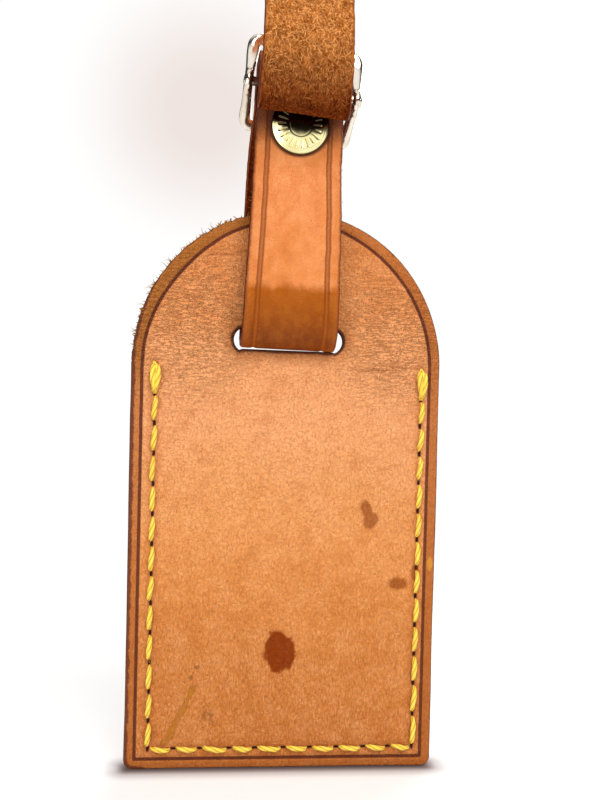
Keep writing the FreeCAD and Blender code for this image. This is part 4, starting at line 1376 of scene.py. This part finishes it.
# ---------------------------------------------------------------- loose edge fibres
def rim_fray(rng):
    """Frayed rim on the left of the arch, partly gathered in tufts."""
    count = 150
    tufts = np.array([113.8, 119, 124.4, 132, 140, 151.3, 160, 169])    # degrees
    angle = np.radians(np.where(
        rng.rand(count) < 0.62,
        tufts[rng.randint(0, len(tufts), count)] + rng.randn(count) * 1.1,
        98 + 80 * rng.rand(count)))
    rim_y = -1.65 + 1.3 * rng.rand(count)
    radius = TAG_HALF - 0.12
    zero = 0 * angle
    roots = np.stack([radius * np.cos(angle), rim_y, ARCH_Z + radius * np.sin(angle)], 1)
    outs = np.stack([np.cos(angle), zero, np.sin(angle)], 1)
    tangents = np.stack([-np.sin(angle), zero, np.cos(angle)], 1)
    parts = []
    for root, out, tangent in zip(roots, outs, tangents):
        kind = rng.rand()          # the top tenth are long and thin
        length = 0.22 + 0.62 * rng.rand() ** 1.6 + (1.3 * rng.rand() if kind > 0.90 else 0)
        swerve = (rng.rand() - 0.5) * 1.6
        middle = (root + out * length * 0.45 + tangent * swerve * length * 0.3
                  + np.array([0, (rng.rand() - 0.5) * 0.3, 0]))
        end = (middle + out * length * 0.4
               + tangent * (swerve + (rng.rand() - 0.5) * 1.6) * length * 0.5
               + np.array([0, (rng.rand() - 0.5) * 0.5, 0]))
        thick = 0.055 + 0.07 * rng.rand() if kind < 0.9 else 0.05
        parts.append(hair([root - out * 0.25, middle, end], 0.14, thick * 1.5, 0.02))
    return join_parts("rim_fray", parts)


def strap_fluff(rng):
    """A few loose fibres on the strap's cut edges."""
    parts = []
    for _ in range(46):
        sign = -1 if rng.rand() < 0.5 else 1
        s = S_RIVET + 5 + rng.rand() * (S_SLOT - S_RIVET - 12)
        u = sign * (float(half_width(s)) - 0.05)
        root = strap_place(np.array([u]), np.array([s]), np.array([0.35 + 1.2 * rng.rand()]))[0]
        length = 0.25 + 0.55 * rng.rand()
        middle = root + np.array([sign * length * 0.5, -0.1 * rng.rand(),
                                  (rng.rand() - 0.5) * length])
        end = middle + np.array([sign * length * 0.35 * rng.rand(), (rng.rand() - 0.5) * 0.3,
                                 (rng.rand() - 0.5) * length])
        parts.append(hair([root - np.array([sign * 0.15, 0, 0]), middle, end],
                          0.12, 0.06, 0.018))
    return join_parts("strap_edge_fibres", parts)


edge_rng = np.random.RandomState(17)
fray = rim_fray(edge_rng)
fluff = strap_fluff(edge_rng)


# ---------------------------------------------------------------- rivet
def rivet_place(points):
    """The lathe's height runs towards the viewer (-Y) from the strap's front face."""
    x, y, height = points.T
    return lean(np.stack([x, -2.95 - STRAP_MID - 0.02 - height, RIVET_Z + y], 1))


def washer_place(points):
    """The lathe's height runs away from the viewer."""
    x, y, height = points.T
    return lean(np.stack([-x, 0.03 + height, RIVET_Z + y], 1))


def cap_relief(r, angle):
    """Ring of short radial strokes between two fine rings, pressed in."""
    strokes = 22
    q = angle * strokes / (2 * math.pi)
    off = np.abs((q % 1.0) - 0.5) / 0.5
    i = np.round(q) % strokes
    r0, r1 = 2.25 + 0.5 * ((i * 0.618) % 1.0), 3.55 + 0.45 * ((i * 0.381) % 1.0)
    stroke = ease(off, 0.56, 0.86) * ease(r, r0, r0 + 0.25) * (1 - ease(r, r1, r1 + 0.25))
    relief = -0.17 * stroke - 0.05 * bell(r - 4.35, 0.10) - 0.03 * bell(r - 1.95, 0.10)
    return np.where(r < 4.75, 1.0, 0.0) * relief


# radius, height: dome, rolled rim, underside, shank
dome = [(q, 0.50 + 0.80 * (1 - (q / CAP_R) ** 2) ** 0.92)
        for q in (i / 45 * 4.50 for i in range(1, 46))]
CAP_RIM = [(4.58, 0.555), (4.66, 0.535), (4.74, 0.515), (4.82, 0.49), (4.91, 0.455),
           (5.00, 0.39), (CAP_R, 0.30), (CAP_R, 0.18), (4.98, 0.06), (4.85, 0.0), (3.0, 0.0)]
SHANK = [(1.22, 0.0), (1.18, -0.2), (1.18, -4.2), (1.0, -4.55), (0.0, -4.6)]
rivet = lathe("rivet_dome", [(0.0, 1.30)] + dome + CAP_RIM + SHANK, rivet_place, 264, cap_relief)

WASHER = [(0, 0.66), (0.5, 0.65), (1.0, 0.58), (1.22, 0.46), (1.34, 0.44), (1.55, 0.46),
          (1.74, 0.40), (1.83, 0.28), (1.83, 0.12), (1.74, 0.02), (0.9, 0.0), (0, 0.0)]
washer = lathe("rivet_washer", WASHER, washer_place, 48)

# ---------------------------------------------------------------- buckle
# corners of the ring's mid-line about the bar: x, z, corner radius
RING_END = RING_HALF_HEIGHT - 0.95
RING_CORNERS = [(-9.2, -RING_END + 1.20, 1.5), (9.1, -RING_END + 0.70, 1.5), (9.75, 0, 9.0),
                (9.2, RING_END + 1.05, 1.3), (-9.8, RING_END + 1.10, 1.3), (-9.85, 0, 9.0)]


def ring_path():
    """Mid-line of the ring: a softened six-sided loop of 260 even points."""
    out = []
    corners = [np.array(corner[:2]) for corner in RING_CORNERS]
    for i, (_, _, radius) in enumerate(RING_CORNERS):
        p0, p1, p2 = corners[i - 1], corners[i], corners[(i + 1) % len(corners)]
        a = (p0 - p1) / np.linalg.norm(p0 - p1)
        b = (p2 - p1) / np.linalg.norm(p2 - p1)
        half = math.acos(np.clip(a @ b, -1, 1)) / 2
        cut = min(radius / math.tan(half), 3.2)
        r = cut * math.tan(half)
        center = p1 + (a + b) / np.linalg.norm(a + b) * r / math.sin(half)
        v0, v1 = p1 + a * cut - center, p1 + b * cut - center
        t0, t1 = math.atan2(v0[1], v0[0]), math.atan2(v1[1], v1[0])
        while t1 - t0 > math.pi:
            t1 -= 2 * math.pi
        while t1 - t0 < -math.pi:
            t1 += 2 * math.pi
        for k in range(13):
            t = t0 + (t1 - t0) * k / 12
            out.append(center + r * np.array([math.cos(t), math.sin(t)]))
    loop = np.vstack([out, out[:1]])
    s = chord_lengths(loop)
    q = np.linspace(0, s[-1], 260, endpoint=False)
    return np.interp(q, s, loop[:, 0]), np.interp(q, s, loop[:, 1])


def buckle_ring():
    x, z = ring_path()
    bow = np.sin(np.clip(np.abs(z) / RING_HALF_HEIGHT, 0, 1) * math.pi / 2) ** 1.35
    path = np.stack([x, EYE_Y + 5.3 * bow, z + BAR_Z], 1)
    tangent = unit(np.roll(path, -1, 0) - np.roll(path, 1, 0))
    outward = unit(np.cross([0, 1.0, 0], tangent))
    through = np.cross(tangent, outward)
    half_across = 0.80 + 0.34 * ease(np.abs(z), 1.8, 7.0)
    half_through = 0.70 + 0.72 * np.exp(-(z / 1.55) ** 4)   # swells into the bar's boss
    points = squarish_rings(path, half_across, outward, half_through, through, power=2.7)
    rows, sides = len(path), 20
    faces = []
    for i in range(rows):
        for j in range(sides):
            i2, j2 = (i + 1) % rows, (j + 1) % sides
            faces.append((i * sides + j, i2 * sides + j, i2 * sides + j2, i * sides + j2))
    return make_mesh("buckle_ring", buckled(points), faces)


def buckle_bar():
    """Bar along X with a domed head at each end."""
    def place(points):
        return buckled(np.stack([points[:, 2], EYE_Y + points[:, 0], BAR_Z + points[:, 1]], 1))

    head = BAR_HALF + 0.27
    half = [(0, head + 0.36), (0.45, head + 0.35), (0.85, head + 0.27), (1.08, head + 0.08),
            (1.12, head - 0.10), (1.06, head - 0.26), (0.93, head - 0.36), (0.93, 9.0),
            (0.80, 8.6), (0.80, 4.0)]
    mirrored = [(radius, -height) for radius, height in half[::-1]]
    return lathe("buckle_rod", half + [(0.80, 0.0)] + mirrored, place, 40)


def buckle_prong():
    """A strip curled round the bar, then a tongue lying on the upper end of the ring."""
    tongue = [(0.75, 123.0), (2.3, 123.95), (3.9, 125.4), (5.35, 127.05), (6.3, 128.75),
              (6.62, 130.6)]
    line, s = spline(arc(EYE_Y, BAR_Z, 1.30, 438, 138, 15) + tongue, 0.18)
    end = s[-1]
    half_width = np.interp(s, [0, 4.5, 7.0, 9.5, end - 1.2, end],
                           [1.0, 1.0, 0.92, 0.80, 0.62, 0.46])
    half_thick = np.interp(s, [0, 5.5, 9.0, end - 2, end], [0.28, 0.29, 0.46, 0.44, 0.30])
    n = len(line)
    path = np.stack([np.zeros(n), line[:, 0], line[:, 1]], 1)
    tangent = unit(np.gradient(path, axis=0))
    across = np.tile([1.0, 0, 0], (n, 1))
    points = squarish_rings(path, half_width, across, half_thick, np.cross(tangent, across),
                            power=2.6)
    ends = path[0] - tangent[0] * 0.10, path[-1] + tangent[-1] * 0.22
    return make_mesh("prong_tongue", buckled(np.vstack([points, *ends])), capped_faces(n, 20))


ring = buckle_ring()
bar = buckle_bar()
prong = buckle_prong()

# ---------------------------------------------------------------- materials onto pieces
front_leather = panel_leather("front_leather", is_front=True)
pocket_leather = panel_leather("pocket_leather", is_front=False)
strap_hide = strap_leather("strap_leather")
thread = thread_material("waxed_thread")
nap_fibre = fibre_material("nap_fibre", light=(0.98, 0.46, 0.13), dark=(0.30, 0.070, 0.006),
                           painted_strap_light=True)
fray_fibre = fibre_material("fray_fibre", light=(0.62, 0.30, 0.09), dark=(0.24, 0.09, 0.02))
rivet_brass = metal_material("rivet_brass", base=(0.98, 0.88, 0.47), worn=(0.88, 0.72, 0.30),
                             roughness=0.12, shaded_rim_radius=5.02)
buckle_brass = metal_material("buckle_brass", base=(0.84, 0.76, 0.65), worn=(0.74, 0.63, 0.48),
                              roughness=0.17)
clear_sheet = film_material("clear_sheet")
card_paper = card_material("card_paper")

# object, material, body it rides on, piece it replaces, slot
PIECES = [
    (front, front_leather, "tag", "front_panel", "front_leather"),
    (pocket, pocket_leather, "tag", "pocket_panel", "pocket_leather"),
    (film, clear_sheet, "tag", "window_film", "clear_film"),
    (thread_front, thread, "tag", "front_thread", "thread"),
    (thread_back, thread, "tag", "back_thread", "thread"),
    (fray, fray_fibre, "tag", None, "front_leather"),
    (card, card_paper, "card", "address_card", "card"),
    (rivet, rivet_brass, "strap", "rivet_cap", "rivet_brass"),
    (washer, rivet_brass, "strap", "rivet_burr", "rivet_brass"),
    (loop_nap, nap_fibre, "strap", None, "strap_leather"),
    (fluff, fray_fibre, "strap", None, "strap_leather"),
    (ring, buckle_brass, "buckle", "buckle_frame", "buckle_brass"),
    (bar, buckle_brass, "buckle", "buckle_bar", "buckle_brass"),
    (prong, buckle_brass, "prong", "buckle_prong", "buckle_brass")]
for ob, material, body, node, slot in PIECES:
    ob.data.materials.append(material)
    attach(ob, body)
    if node:
        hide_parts(node)

strap.data.materials.append(strap_hide)
nap.data.materials.append(nap_fibre)
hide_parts("strap_loop", "strap_tail")
# the point on the strap's middle layer where the tail meets the loop, in metres; it is not used
# further
pivot = strap_place(np.array([0.0]), np.array([S_TAIL_BLEND]), np.array([STRAP_MID]))[0] * MM
for ob in (strap, nap):
    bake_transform(ob)


# ---------------------------------------------------------------- stage (metres from here on)
def floor_material(name):
    """Pale floor with a painted contact shadow round the tag's foot, fading out to nothing."""
    graph = new_material(name)
    place = graph.coordinates()
    x, y, _ = place.xyz()
    radius = (x * x + y * y).sqrt()
    grey = place.noise(scale=60.0, detail=3).mix((0.66, 0.655, 0.65), (0.69, 0.685, 0.68))
    beyond_x = (abs(x) - 0.0268).max(0.0)
    beyond_y = (abs(y) - 0.0012).max(0.0)
    distance = (beyond_x * beyond_x + beyond_y * beyond_y).sqrt()
    # painted contact shadow round the tag's foot, in both the colour and the glow
    shade = distance.fade(over=(0.0, 0.0060)).mix((0.50, 0.43, 0.42), (1.0, 1.0, 1.0))
    shade = shade.coat((distance.fade(over=(0.0, 0.0024), first=0.75, last=0.0),
                        (0.13, 0.07, 0.06)))
    diffuse = graph.node("BsdfDiffuse", {"Color": grey.times(shade)})
    glow = graph.node("Emission", {"Color": shade, "Strength": 0.40})
    lit = graph.node("AddShader", {0: diffuse, 1: glow})
    clear = graph.node("BsdfTransparent", {})
    return graph.finish(graph.node("MixShader", {0: radius.fade(over=(0.05, 0.30)),
                                                 1: lit, 2: clear}))


def make_floor():
    n = 96
    z = -0.0003
    radii = [0.02, 0.05, 0.09, 0.15, 0.25, 0.4, 0.7, 1.2]
    angles = [2 * math.pi * j / n for j in range(n)]
    verts = [(0, 0, z)] + [(r * math.cos(t), r * math.sin(t), z) for r in radii for t in angles]
    faces = [(0, 1 + j, 1 + (j + 1) % n) for j in range(n)]
    for i in range(len(radii) - 1):
        for j in range(n):
            a, b = 1 + i * n + j, 1 + i * n + (j + 1) % n
            faces.append((a, a + n, b + n, b))
    mesh = bpy.data.meshes.new("floor")
    mesh.from_pydata(verts, [], faces)
    floor = bpy.data.objects.new("floor", mesh)
    bpy.context.scene.collection.objects.link(floor)
    mesh.materials.append(floor_material("floor_pale"))


# sky colours from straight down (0) to straight up (1)
DIFFUSE_SKY = [(0.25, (0.62, 0.60, 0.585)), (0.55, (1.0, 0.99, 0.98)), (0.97, (0.70, 0.70, 0.72))]
# polished metal mirrors a bright room with a darker ceiling
MIRROR_SKY = [(0.26, (0.70, 0.69, 0.67)), (0.42, (1.0, 0.99, 0.97)), (0.505, (1.0, 0.99, 0.97)),
              (0.545, (0.12, 0.115, 0.11)), (0.62, (0.03, 0.03, 0.03)),
              (0.86, (0.05, 0.05, 0.055)), (0.97, (0.95, 0.95, 0.96))]


def make_world():
    """Separate skies for diffuse light, for reflections and for the camera."""
    world = bpy.data.worlds.new("studio")
    scene.world = world
    graph = Graph(world, "ShaderNodeOutputWorld")

    def background(color, strength):
        return graph.node("Background", {"Color": color, "Strength": strength})

    direction = graph.coordinates("Generated")
    height = direction.xyz()[2].fade(over=(-1.0, 1.0), kind="LINEAR")
    # white backdrop with a faint warm-grey painted shadow round one direction
    away = direction.vector("DISTANCE", {1: (0.0175, 0.9745, 0.2239)}, "Value")
    shade = away.fade(over=(0.015, 0.135), first=1.0, last=0.0)
    backdrop = shade.mix((1.02, 1.015, 1.01), (0.86, 0.77, 0.735))
    ray = graph.node("LightPath", {}, "Is Glossy Ray")
    unseen = graph.node("MixShader", {0: ray, 1: background(height.ramp(DIFFUSE_SKY), 0.42),
                                      2: background(height.ramp(MIRROR_SKY), 1.12)})
    graph.finish(graph.node("MixShader", {0: ray.output("Is Camera Ray"), 1: unseen,
                                          2: background(backdrop, 1.0)}))


def area_light(name, location, aim, size, power, color):
    light = bpy.data.lights.new(name, "AREA")
    light.shape = "RECTANGLE"
    light.size, light.size_y = size
    light.energy = power
    light.color = color
    ob = bpy.data.objects.new(name, light)
    ob.location = location
    ob.rotation_mode = "QUATERNION"
    ob.rotation_quaternion = (Vector(aim) - Vector(location)).to_track_quat("-Z", "Y")
    scene.collection.objects.link(ob)


def rotation(axis, degrees):
    """Rotation matrix about axis 0, 1 or 2."""
    angle = math.radians(degrees)
    i, j = (axis + 1) % 3, (axis + 2) % 3
    matrix = np.eye(3)
    matrix[i, i] = matrix[j, j] = math.cos(angle)
    matrix[i, j], matrix[j, i] = -math.sin(angle), math.sin(angle)
    return matrix


def make_camera(location, yaw, pitch, roll):
    """Camera that looks along +Y before it is turned; angles in degrees."""
    data = bpy.data.cameras.new("camera")
    camera = bpy.data.objects.new("camera", data)
    scene.collection.objects.link(camera)
    scene.camera = camera
    data.sensor_width = 36.0
    data.lens = 50.517
    data.clip_start, data.clip_end = 0.005, 20.0
    turned = rotation(2, yaw) @ rotation(0, pitch) @ rotation(1, roll)
    matrix = np.eye(4)
    matrix[:3, :3] = np.stack([turned[:, 0], turned[:, 2], -turned[:, 1]], 1)
    matrix[:3, 3] = location
    camera.matrix_world = Matrix(matrix.tolist())


scene = bpy.context.scene
make_floor()
make_world()
area_light("key", location=(0.09, -0.27, 0.36), aim=(0.0, 0.0, 0.07), size=(0.24, 0.20),
           power=1.28, color=(1.0, 0.985, 0.96))
area_light("fill", location=(-0.26, -0.34, 0.09), aim=(0.0, 0.0, 0.06), size=(0.30, 0.30),
           power=0.655, color=(1.0, 0.99, 0.98))
area_light("rim", location=(0.12, 0.30, 0.26), aim=(0.0, 0.0, 0.08), size=(0.30, 0.24),
           power=1.1, color=(1.0, 0.99, 0.97))
make_camera(location=(-0.0192, -0.200, 0.0707), yaw=-6.19, pitch=-1.38, roll=-1.39)
scene.view_settings.view_transform = "Standard"
scene.view_settings.look = "None"

bpy.context.view_layer.update()
